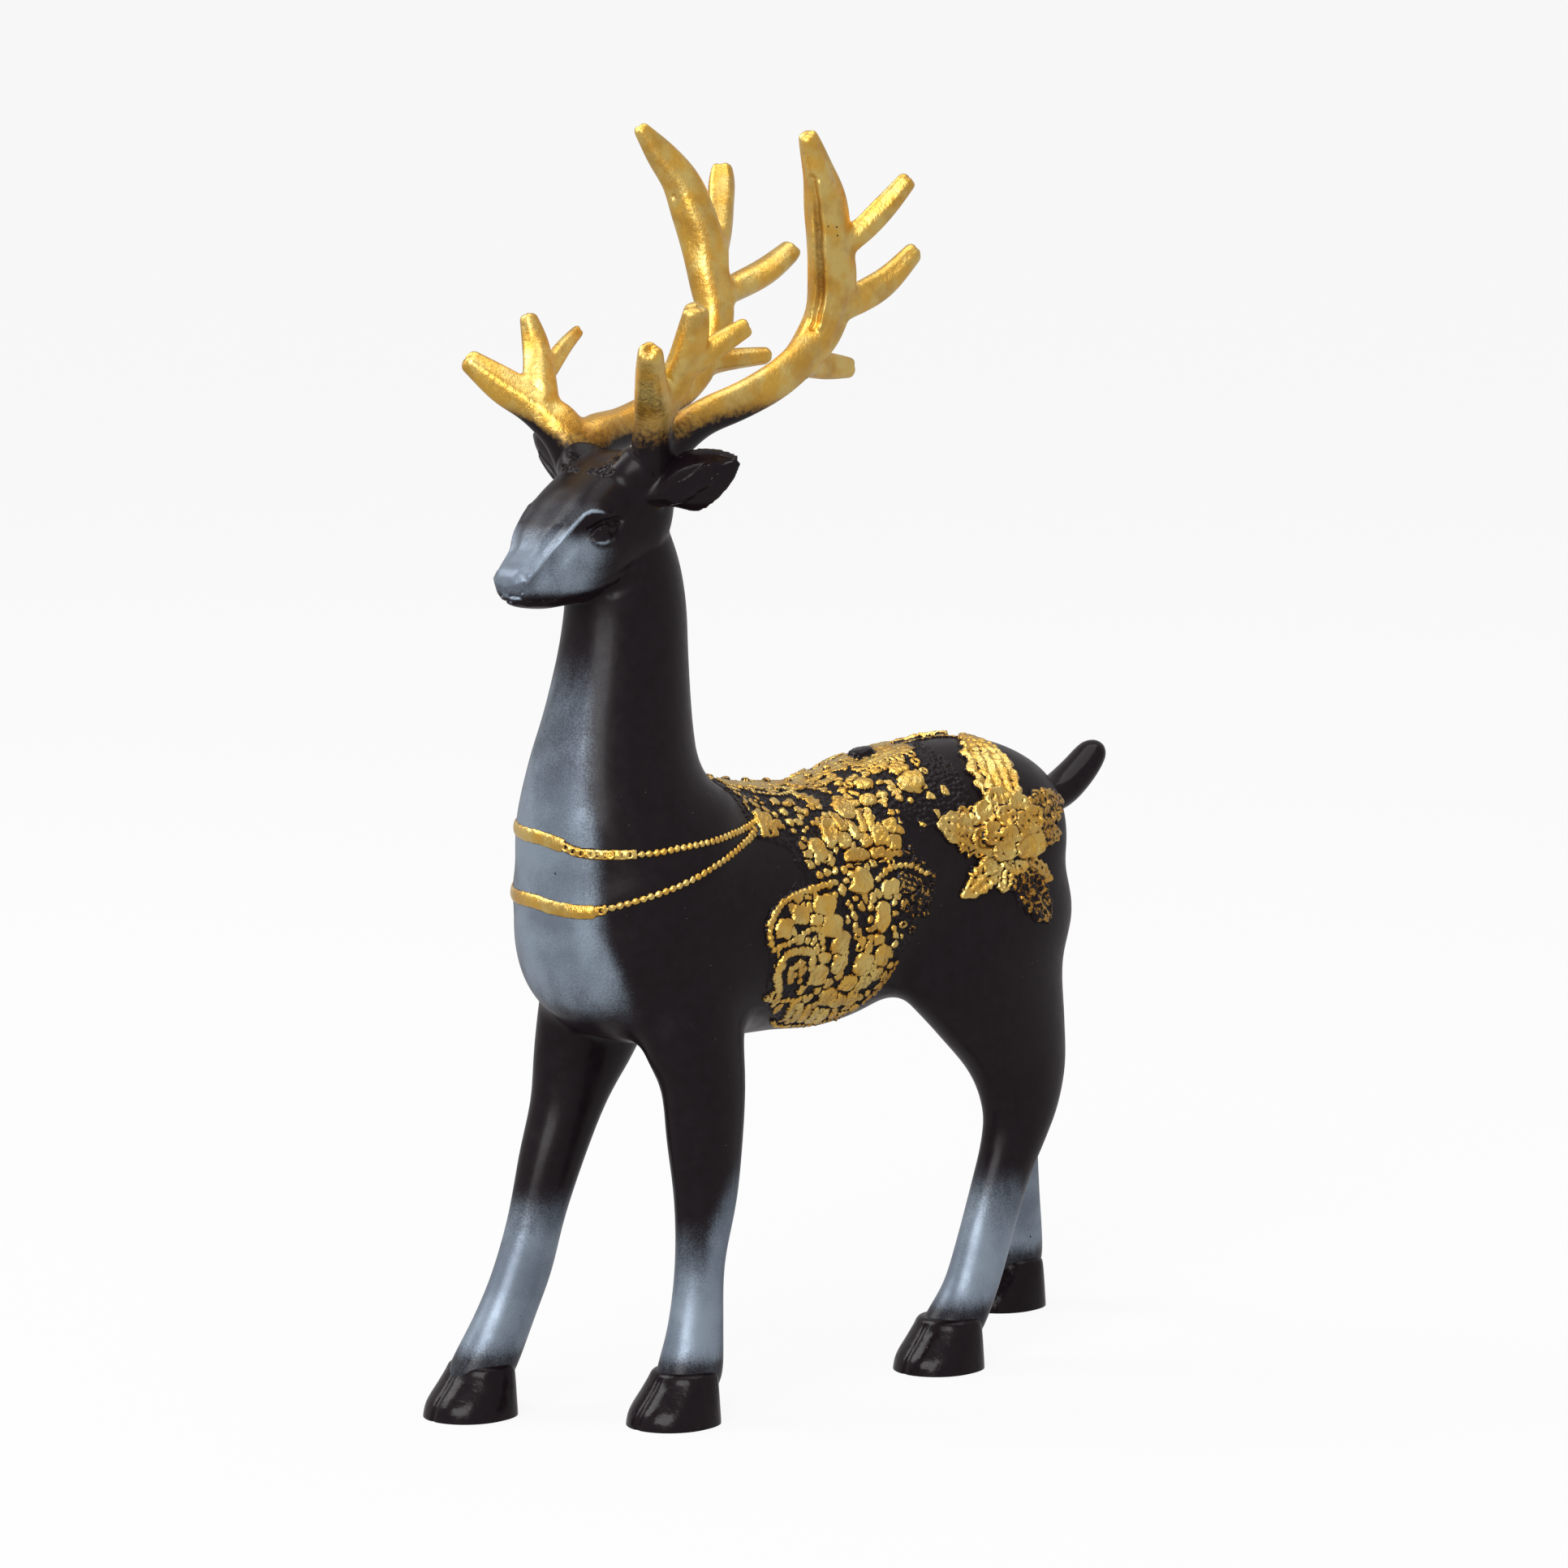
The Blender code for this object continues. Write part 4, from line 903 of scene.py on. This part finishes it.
def blanket(name, low, high, step):
    """One half of the blanket. The far half carries fewer small beads."""
    sheet = Sheet(name, low, high, step, on_trunk)
    folded = np.where(sheet.up > SPINE, 2 * SPINE - sheet.up, sheet.up)
    depth = outline_depth(sheet.along, folded, BLANKET_EDGE) + 0.7 * ripple(sheet.along, folded, 7, 1)
    sheet.height = Sheet.SUNK + 0.92 * ramp(depth, -0.9, 1.1)
    dents = ripple(sheet.along, folded, 1.9, 2) + ripple(sheet.along, folded, 1.1, 3)
    sheet.height += (0.10 + 0.12 * ramp(sheet.along, 20, 28)) * dents * ramp(depth, -1.5, 0.5)
    scaled = (0.42 * within(sheet.along, folded, (-27, -34), (12, 5))
              + 0.55 * within(sheet.along, folded, (-7, 9), (20, 27)))
    for share, first, last in SCALED:
        scaled = np.maximum(scaled, share * within(sheet.along, folded, first, last))
    scaled = np.maximum(scaled, 0.25 * ramp(depth, 1.0, 3.0))
    gilt = 1 - 0.55 * ramp(sheet.along - 0.25 * np.abs(folded - 2), 9.5, 16) * (folded < 13)
    cobbles(sheet, SCALE_SIZE, scaled * ramp(depth, 0.6, 1.6), gilt, 4)
    for far in (False, True):
        for kind, along, up, long, wide, turn in saddle_forms:
            if far and (kind == "ring" or (kind == "bead" and long < 2.2)):
                continue
            worn = 1 - 0.6 * float(ramp(along - 0.25 * abs(up - 2), 9.5, 16)) * (up < 13)
            worn -= 0.2 * float(ramp(-along, 12, 18)) * (up < -8)
            height = 2 * SPINE - up if far else up
            emboss(sheet, kind, along, height, long, wide, -turn if far else turn, gold=worn)
        for width, spacing, path in SADDLE_CORDS:
            laid = [(along, 2 * SPINE - up) for along, up in path] if far else path
            worn = 1 - 0.45 * float(ramp(path[0][0], 12, 16))
            string_of(sheet, width, spacing, laid, gold=worn)
    emboss(sheet, "gem", 26.5, SPINE, 7.0, 6.0, 0, ground=0.6, gold=0.0, lift=0.9)
    for along in SPINE_BEADS:
        emboss(sheet, "bead", along, SPINE, 2.3, 2.6, 0, ground=0.9, gold=0.7)
    sheet.height += 0.07 * ripple(sheet.along, folded, 1.3, 6) + 0.05 * ripple(sheet.along, folded, 0.9, 7)
    return sheet


def cobbles(sheet, size, share, gold, seed):
    """Small irregular scales that fill the ground between the larger forms, where share lets them."""
    dice = np.random.default_rng(seed)
    first = np.floor(sheet.along / size).astype(int)
    second = np.floor(sheet.up / size).astype(int)
    low = first.min() - 1, second.min() - 1
    spots = dice.uniform(0.12, 0.88, (first.max() - low[0] + 3, second.max() - low[1] + 3, 2))
    chance = dice.uniform(0, 1, spots.shape[:2])
    near = np.full(sheet.along.shape, np.inf)
    next_near, luck = near.copy(), np.zeros(near.shape)
    for step_a in (-1, 0, 1):
        for step_u in (-1, 0, 1):
            column, row = first + step_a - low[0], second + step_u - low[1]
            spot = spots[column, row]
            away = np.hypot((first + step_a + spot[..., 0]) * size - sheet.along,
                            (second + step_u + spot[..., 1]) * size - sheet.up)
            closer = away < near
            next_near = np.where(closer, near, np.minimum(next_near, away))
            luck = np.where(closer, chance[column, row], luck)
            near = np.where(closer, away, near)
    rise = np.clip((next_near - near - 0.25) / 0.5, 0, 1) ** 0.7 * (0.5 + 0.45 * np.mod(luck * 7.3, 1))
    rise *= luck < share
    whole = slice(None), slice(None)
    sheet.raise_to(whole, 0.3, rise, gold)


def within(along, up, low, high, soft=2.0):
    """1 inside a box of the blanket, fading at its edges."""
    inside = [ramp(value, start - soft, start + soft) * ramp(-value, -end - soft, -end + soft)
              for value, start, end in zip((along, up), low, high)]
    return inside[0] * inside[1]


gilded_saddle = enamelled("gilded_saddle", roughness=0.2, lumps=0.14, wear=0.3, amber=0.45, leaf=1.0)
blanket("saddle_left", (-35, -40), (43, SPINE + 6), 0.27).lay(gilded_saddle)
blanket("saddle_right", (-35, SPINE + 6), (43, 2 * SPINE + 40), 0.34).lay(gilded_saddle)

# Chest chains: a flat band over the breast that breaks into beads towards the clasp on each
# shoulder, cast in relief and gilded.

CHEST_AXIS = (0.0, -46.0)
CHEST_RADIUS = 28.0
BAND_RIGHT = 24
# Each chain: the degrees at which its flat band ends on the left, the mm up to which its links are
# paired from there, and its route as (degrees from the middle of the breast, height).
CHAINS = (
    (13, 24, ((-140, 139.2), (-112, 138.2), (-90, 137.4), (-65, 137.8), (-43, 139.2), (-13, 138.8),
              (0.5, 138.5), (11.4, 137.5), (19, 136.1), (27, 135.5), (44, 135.4), (57, 135.6),
              (71, 136.4), (92, 137.2), (110, 138.0), (126, 138.5), (140, 139.2))),
    (28, 17, ((-134, 138.2), (-124, 136.3), (-106, 134), (-89, 131.5), (-77, 129.4), (-62, 126.8),
              (-48, 124.2), (-33, 123.2), (-6, 123.3), (7, 122.5), (19, 122.0), (28, 122.2),
              (38, 123.5), (50, 125.2), (63, 127.1), (77, 129.4), (89, 131.5), (106, 134),
              (124, 136.3), (134, 138.2))),
)


def on_chest(along, up):
    bearing = along / CHEST_RADIUS
    return Vector((*CHEST_AXIS, up)), Vector((math.sin(bearing), -math.cos(bearing), 0))


chains = Sheet("chest_chains", (-70, 117.5), (70, 143.5), 0.22, on_chest, unevenness=0.07)
for end, paired, route in CHAINS:
    path = flowing([(math.radians(degrees) * CHEST_RADIUS, height) for degrees, height in route], 8)
    edge = math.radians(end) * CHEST_RADIUS
    band = [place for place in path if -BAND_RIGHT < place[0] < edge]
    right = [place for place in reversed(path) if place[0] < 1 - BAND_RIGHT]
    left = [place for place in path if place[0] > edge]
    links = [place for place in left if place[0] < paired]
    string_of(chains, 3.9, 0.25, band, ground=-0.35, lift=0.85)
    for width, offset in ((1.3, 0.75), (1.2, -0.75)):
        string_of(chains, width, 0.5, [(along, up + offset) for along, up in links], ground=-0.1)
    for along, up in links[2::4]:
        emboss(chains, "ring", along, up, 2.2, 2.2, 0, ground=0.0)
    for beads in (right, left):
        string_of(chains, 2.0, 1.8, beads, ground=-0.1)
        string_of(chains, 1.2, 0.4, beads, ground=-0.05, gold=0.8)
chains.height += 0.04 * ripple(chains.along, chains.up, 1.8, 4)
chains.lay(enamelled("gilded_chain", roughness=0.3, lumps=0.08, wear=0.3, amber=0.4, leaf=0.6))

# Hip flower: layered petals over ribbed leaves, one leaf reaching up to the spine. It is cast
# with the hip and gilded, thinly on the leaves behind it.

PETALS = (
    ("petal", 46.4, 6.0, 7.6, 6.6, 28, 0.3), ("petal", 53.6, 5.2, 8.0, 6.8, -24, 0.3),
    ("petal", 60.2, 9.6, 7.6, 8.0, 20, 0.3), ("petal", 43.6, 11.8, 6.6, 7.0, -10, 0.4),
    ("petal", 61.4, 15.6, 6.6, 6.4, -20, 0.4), ("petal", 51.6, 20.6, 8.4, 6.8, 8, 0.5),
    ("petal", 57.2, 18.6, 6.4, 7.2, -28, 0.7), ("petal", 45.6, 18.0, 5.8, 6.4, 24, 0.6),
    ("petal", 56.6, 9.0, 6.2, 7.0, 34, 1.0), ("petal", 49.6, 8.6, 7.2, 5.6, -8, 1.0),
    ("petal", 46.2, 13.2, 5.0, 6.2, -16, 1.1), ("petal", 57.0, 14.6, 5.4, 5.6, -30, 1.2),
    ("petal", 51.6, 16.8, 6.4, 4.8, 10, 1.2), ("oval", 51.8, 12.4, 5.2, 4.6, -20, 1.7),
    ("bead", 49.4, 13.0, 2.8, 2.8, 0, 2.2), ("bead", 53.6, 11.4, 2.4, 2.4, 0, 2.4),
)
# Leaves: half width, height, ribs, gold, path from the flower out to the tip.
LEAF_WORK = (
    (7.2, 1.5, 5, 1.0, ((50.8, 18.0), (52.4, 24.0), (54.2, 30.0), (56.6, 36.6), (57.8, 43.4))),
    (6.2, 1.2, 4, 0.86, ((46.0, 12.0), (41.0, 14.0), (36.0, 15.6), (29.6, 17.8))),
    (4.2, 1.2, 3, 1.0, ((46.0, 5.2), (42.4, 2.6), (39.4, 0.2), (35.2, -2.6))),
    (3.0, 1.1, 3, 1.0, ((49.6, 4.0), (48.6, 0.8), (47.6, -2.6))),
    (5.4, 1.2, 3, 0.44, ((53.4, 4.0), (56.4, -1.4), (59.4, -6.0), (61.8, -10.4))),
    (3.0, 1.1, 2, 0.8, ((56.4, 4.4), (61.0, 1.6), (65.0, -1.2))),
    (5.0, 1.2, 3, 0.58, ((58.0, 15.2), (64.0, 17.2), (70.0, 19.4), (75.6, 21.4))),
    (3.4, 1.1, 2, 0.6, ((60.0, 12.0), (65.0, 11.4), (70.4, 11.6))),
)
PETALS_FORWARD = 1.4
SPINE_LINE = ((57.4, 41.5), (55.0, 44.4), (50.0, 45.6), (40.0, 45.6), (33.0, 45.5))


def on_hip(side):
    """Aims at the trunk from one side, with up measured round from that side."""
    def aim(along, up):
        axis, outward = on_trunk(along, up)
        return axis, Vector((side * outward.x, 0, outward.z))
    return aim


def leaf(sheet, half_width, top, ribs, gold, path):
    """A pointed leaf with ribs and a nicked edge."""
    fine = np.array(flowing(path, 8))
    middle = fine.mean(axis=0)
    part = sheet.near(*middle, np.linalg.norm(fine - middle, axis=1).max() + half_width)
    along, up = sheet.along[part], sheet.up[part]
    away, share, side = np.full(along.shape, np.inf), np.zeros(along.shape), np.zeros(along.shape)
    for number, (start, end) in enumerate(zip(fine, fine[1:])):
        run = end - start
        t = np.clip(((along - start[0]) * run[0] + (up - start[1]) * run[1]) / (run @ run), 0, 1)
        gap_a, gap_u = along - start[0] - t * run[0], up - start[1] - t * run[1]
        distance = np.hypot(gap_a, gap_u)
        closer = distance < away
        away = np.where(closer, distance, away)
        share = np.where(closer, (number + t) / (len(fine) - 1), share)
        side = np.where(closer, np.sign(run[0] * gap_u - run[1] * gap_a) * distance, side)
    width = half_width * np.sin(math.pi * np.clip(0.16 + 0.84 * share, 0, 1)) ** 0.8 + 0.25
    width *= 1 + 0.10 * np.sin(share * 34) + 0.05 * ripple(along, up, 2.4, round(half_width * 10))
    across = side / width
    rise = top * np.clip((1 - np.abs(across)) * half_width / 0.8, 0, 1) ** 0.7
    rise *= 0.7 + 0.3 * np.cos(across * math.pi * ribs) * ramp(1 - share, 0.05, 0.5)
    rise *= 1 + 0.12 * ripple(along, up, 2.0, 8)
    sheet.raise_to(part, 0.2, rise * (np.abs(across) < 1), gold)


for name, side in (("hip_flower_left", 1), ("hip_flower_right", -1)):
    flower = Sheet(name, (25, -17), (82, SPINE), 0.25, on_hip(side))
    if side < 0:
        flower.outward *= -1
        flower.piece.data.flip_normals()
    for work in LEAF_WORK:
        leaf(flower, *work)
    string_of(flower, 1.5, 0.5, SPINE_LINE, ground=-0.1, gold=0.8)
    for kind, along, up, long, wide, turn, ground in PETALS:
        emboss(flower, kind, along - PETALS_FORWARD, up, long, wide, turn, ground=ground)
    flower.height += (0.14 * ripple(flower.along, flower.up, 1.6, 9)
                      + 0.06 * ripple(flower.along, flower.up, 1.0, 10))
    flower.lay(enamelled(name.replace("hip", "gilded"), roughness=0.22, lumps=0.14, wear=0.26, amber=0.45,
                         leaf=1.0))

# Antlers: cast with the head and gilded by brush. Their undersides stay black near the skull,
# and a groove runs up the front of the left beam. The tips are blunt where the runners were cut.

ANTLER_VOXEL = 0.43 * MM
GROOVE = ((27.0, -15.4, 289), (26.1, -13.1, 281), (25.0, -11.3, 272), (23.2, -9.3, 262), (21.8, -10.3, 254))
ANTLER_STROKES = (
    (1.3, -1.1, GROOVE),
    (1.0, -1.1, ((31.0, -71.0, 253.6), (31.2, -69.6, 254.8))),
    (0.9, 0.5, ((28.0, -14.6, 288), (27.2, -12.2, 281), (26.2, -10.4, 272), (24.5, -8.5, 262),
                (23.0, -9.6, 254))),
    (0.7, -0.7, ((-24.6, -12.6, 283.0), (-24.5, -12.5, 282.8))),
)


def flute(points, outward, rows):
    """Works uneven flutes and dents into one beam or tine, so it isn't round."""
    curve = np.array(flowing(rows, 4))
    dice = random.Random(round(rows[-1][0] * 5 + rows[-1][2]))
    near = np.full(len(points), np.inf)
    along, around = np.zeros(len(points)), np.zeros(len(points))
    for number, (start, end) in enumerate(zip(curve, curve[1:])):
        run = end[:3] - start[:3]
        away = points - start[:3]
        share = np.clip(away @ run / (run @ run), 0, 1)
        away = away - share[:, None] * run
        gap = np.linalg.norm(away, axis=1)
        closer = gap < near
        side = np.cross(run, (1, 0, 0))
        side /= np.linalg.norm(side)
        over = np.cross(side, run / np.linalg.norm(run))
        near = np.where(closer, gap, near)
        along = np.where(closer, number + share, along)
        around = np.where(closer, np.arctan2(away @ over, away @ side), around)
    size = np.interp(along, np.arange(len(curve)), curve[:, 3])
    radius = size * BEAM_THICKNESS / 2
    hold = ramp(-near / radius, -1.5, -1.05) * ramp(points[:, 2], 230, 237)
    dent = np.zeros(len(points))
    for lobes, depth in ((2, 0.30), (3, 0.28), (5, 0.15)):
        dent += depth * np.sin(lobes * around + dice.uniform(0, 6)
                               + 0.5 * np.sin(along * 0.35 + dice.uniform(0, 6)))
    dent += 0.16 * np.sin(along * 0.9 + dice.uniform(0, 6)) * np.sin(2 * around + dice.uniform(0, 6))
    points += outward * (dent * size * hold)[:, None]


antlers = cast("antlers", [tine(rows) for antler in (LEFT_ANTLER, RIGHT_ANTLER) for rows in antler],
               ANTLER_VOXEL, 3)
fill_creases(antlers.data, 45)
points, outward = places(antlers.data), facing(antlers.data)
for reach, lift, path in ANTLER_STROKES:
    stroke(points, outward, reach, lift, path)
for antler in (LEFT_ANTLER, RIGHT_ANTLER):
    for rows in antler:
        flute(points, outward, rows)
settle(antlers.data, points)
shaded(antlers.data)
points, outward = places(antlers.data), facing(antlers.data)
x, y, z = points.T
low = ramp(-z, -241, -226) * ramp(-outward[:, 2], -0.2, 0.75) * np.where(x > 0, ramp(y, -56, -44), 1)
neck_line = np.where(x > 0, ramp(-z, -247, -220), ramp(-z, -241, -218))
# Painted shade: gold is thinned along the groove of the left beam, so the groove reads dark.
groove_shade = 0.5 * ramp(-beside(points, GROOVE), -1.8, -0.6) * (x > 0) * ramp(z, 252, 266) * ramp(-z, -292, -278)
painted(antlers.data, "gold", np.clip(1.0 - low - neck_line - groove_shade, 0, 1))
finished(antlers, enamelled("gilded_antler", roughness=0.35, wear=0.1, amber=0.42, leaf=0.5, edge=0.3))

# Hooves: black, blunt and a little rough from the mould, with a step where the shin ends and
# a shallow cleft in front. Their soles are rubbed flat.

HOOF_SPOTS = ((19, -53), (-20, -82), (20, 33), (-20, 95))
HOOF = ((0.0, -2.0, 10.5, 11.1), (0.0, 0.0, 10.6, 11.15), (0.45, 3.4, 10.3, 10.5), (2.2, 7.6, 9.3, 8.6),
        (3.2, 10.2, 8.6, 7.5), (3.5, 11.6, 8.1, 7.0), (3.6, 12.4, 7.0, 6.2))
HOOF_VOXEL = 0.4 * MM
hooves = cast("hooves", [
    limb([(x, y + back, up, wide, long) for back, up, wide, long in HOOF], level=True, flat_top=2.5)
    for x, y in HOOF_SPOTS
], HOOF_VOXEL, 2)
points, outward = places(hooves.data), facing(hooves.data)
for x, y in HOOF_SPOTS:
    cleft = ((x, y - 11.6, -1), (x, y - 10.6, 3.4), (x, y - 7, 8), (x, y - 4.2, 10.6))
    swelling = ((x + 4, y - 9.8, 3), (x + 3.6, y - 6.8, 8))
    stroke(points, outward, 1.1, -0.3, cleft)
    stroke(points, outward, 3.0, 0.25, swelling)
settle(hooves.data, points)
ground = bmesh.new()
ground.from_mesh(hooves.data)
cut = bmesh.ops.bisect_plane(ground, geom=ground.verts[:] + ground.edges[:] + ground.faces[:],
                             dist=0.001 * MM, plane_co=(0, 0, 0), plane_no=(0, 0, 1), clear_inner=True)
rims = [item for item in cut["geom_cut"] if isinstance(item, bmesh.types.BMEdge)]
bmesh.ops.holes_fill(ground, edges=rims, sides=0)
shaded(hardened(ground, hooves.data))
painted(hooves.data, "gloss", np.full(len(hooves.data.vertices), 0.8))
finished(hooves, enamelled("hoof_enamel", roughness=0.4, glossy=0.2, lumps=0.2))

# Studio: a pale floor, soft light, and the camera at the photograph's angle.

CAMERA_PLACE = Vector((1093.453, -1026.821, 343.0))
CAMERA_YAW = math.radians(136.778)
CAMERA_PITCH = math.radians(-7.5602)
FOCAL_PIXELS = 7818
PHOTO_PIXELS = 1932
SENSOR = 36
ahead = Vector((math.cos(CAMERA_PITCH) * math.cos(CAMERA_YAW), math.cos(CAMERA_PITCH) * math.sin(CAMERA_YAW),
                math.sin(CAMERA_PITCH)))
rightward = Vector((math.sin(CAMERA_YAW), -math.cos(CAMERA_YAW), 0))
upward = rightward.cross(ahead)
lens = bpy.data.cameras.new("camera")
lens.sensor_width = SENSOR
lens.lens = FOCAL_PIXELS / PHOTO_PIXELS * SENSOR
lens.clip_end = 60
camera = placed("camera", lens)
turn = Matrix((rightward, upward, -ahead)).transposed().to_4x4()
camera.matrix_world = Matrix.Translation((CAMERA_PLACE - FOOTPRINT_MIDDLE) * MM) @ turn
bpy.context.scene.camera = camera

floor_form = bmesh.new()
bmesh.ops.create_circle(floor_form, cap_ends=True, segments=96, radius=40)
floor = placed("floor", hardened(floor_form, bpy.data.meshes.new("floor")))
paper = bpy.data.materials.new("pale_paper")
paper.use_nodes = True
surface = paper.node_tree.nodes["Principled BSDF"]
surface.inputs["Base Color"].default_value = (0.06, 0.06, 0.06, 1)
surface.inputs["Roughness"].default_value = 1.0
surface.inputs["Specular IOR Level"].default_value = 0.0
surface.inputs["Emission Color"].default_value = (1.0, 1.0, 1.0, 1)
surface.inputs["Emission Strength"].default_value = 0.9
floor.data.materials.append(paper)
floor.visible_glossy = False

world = bpy.data.worlds.new("studio")
world.use_nodes = True
sky = world.node_tree.nodes["Background"].inputs
sky["Color"].default_value = (1.0, 0.975, 0.985, 1)
sky["Strength"].default_value = 0.55
bpy.context.scene.world = world


def softbox(name, place, aim, size, power):
    light = bpy.data.lights.new(name, "AREA")
    light.shape = "RECTANGLE"
    light.size, light.size_y = size
    light.energy = power
    turn = (Vector(aim) - Vector(place)).to_track_quat("-Z", "Y").to_matrix().to_4x4()
    placed(name, light).matrix_world = Matrix.Translation(Vector(place)) @ turn


softbox("key", (0.85, -1.55, 1.0), (0, 0, 0.15), (1.2, 1.2), 32)
softbox("left", (-1.15, -0.75, 1.35), (0, 0, 0.2), (0.9, 1.0), 15)
softbox("overhead", (0.1, 0.1, 1.7), (0, 0, 0.1), (1.3, 1.3), 10)

bpy.context.scene.view_settings.view_transform = "Standard"
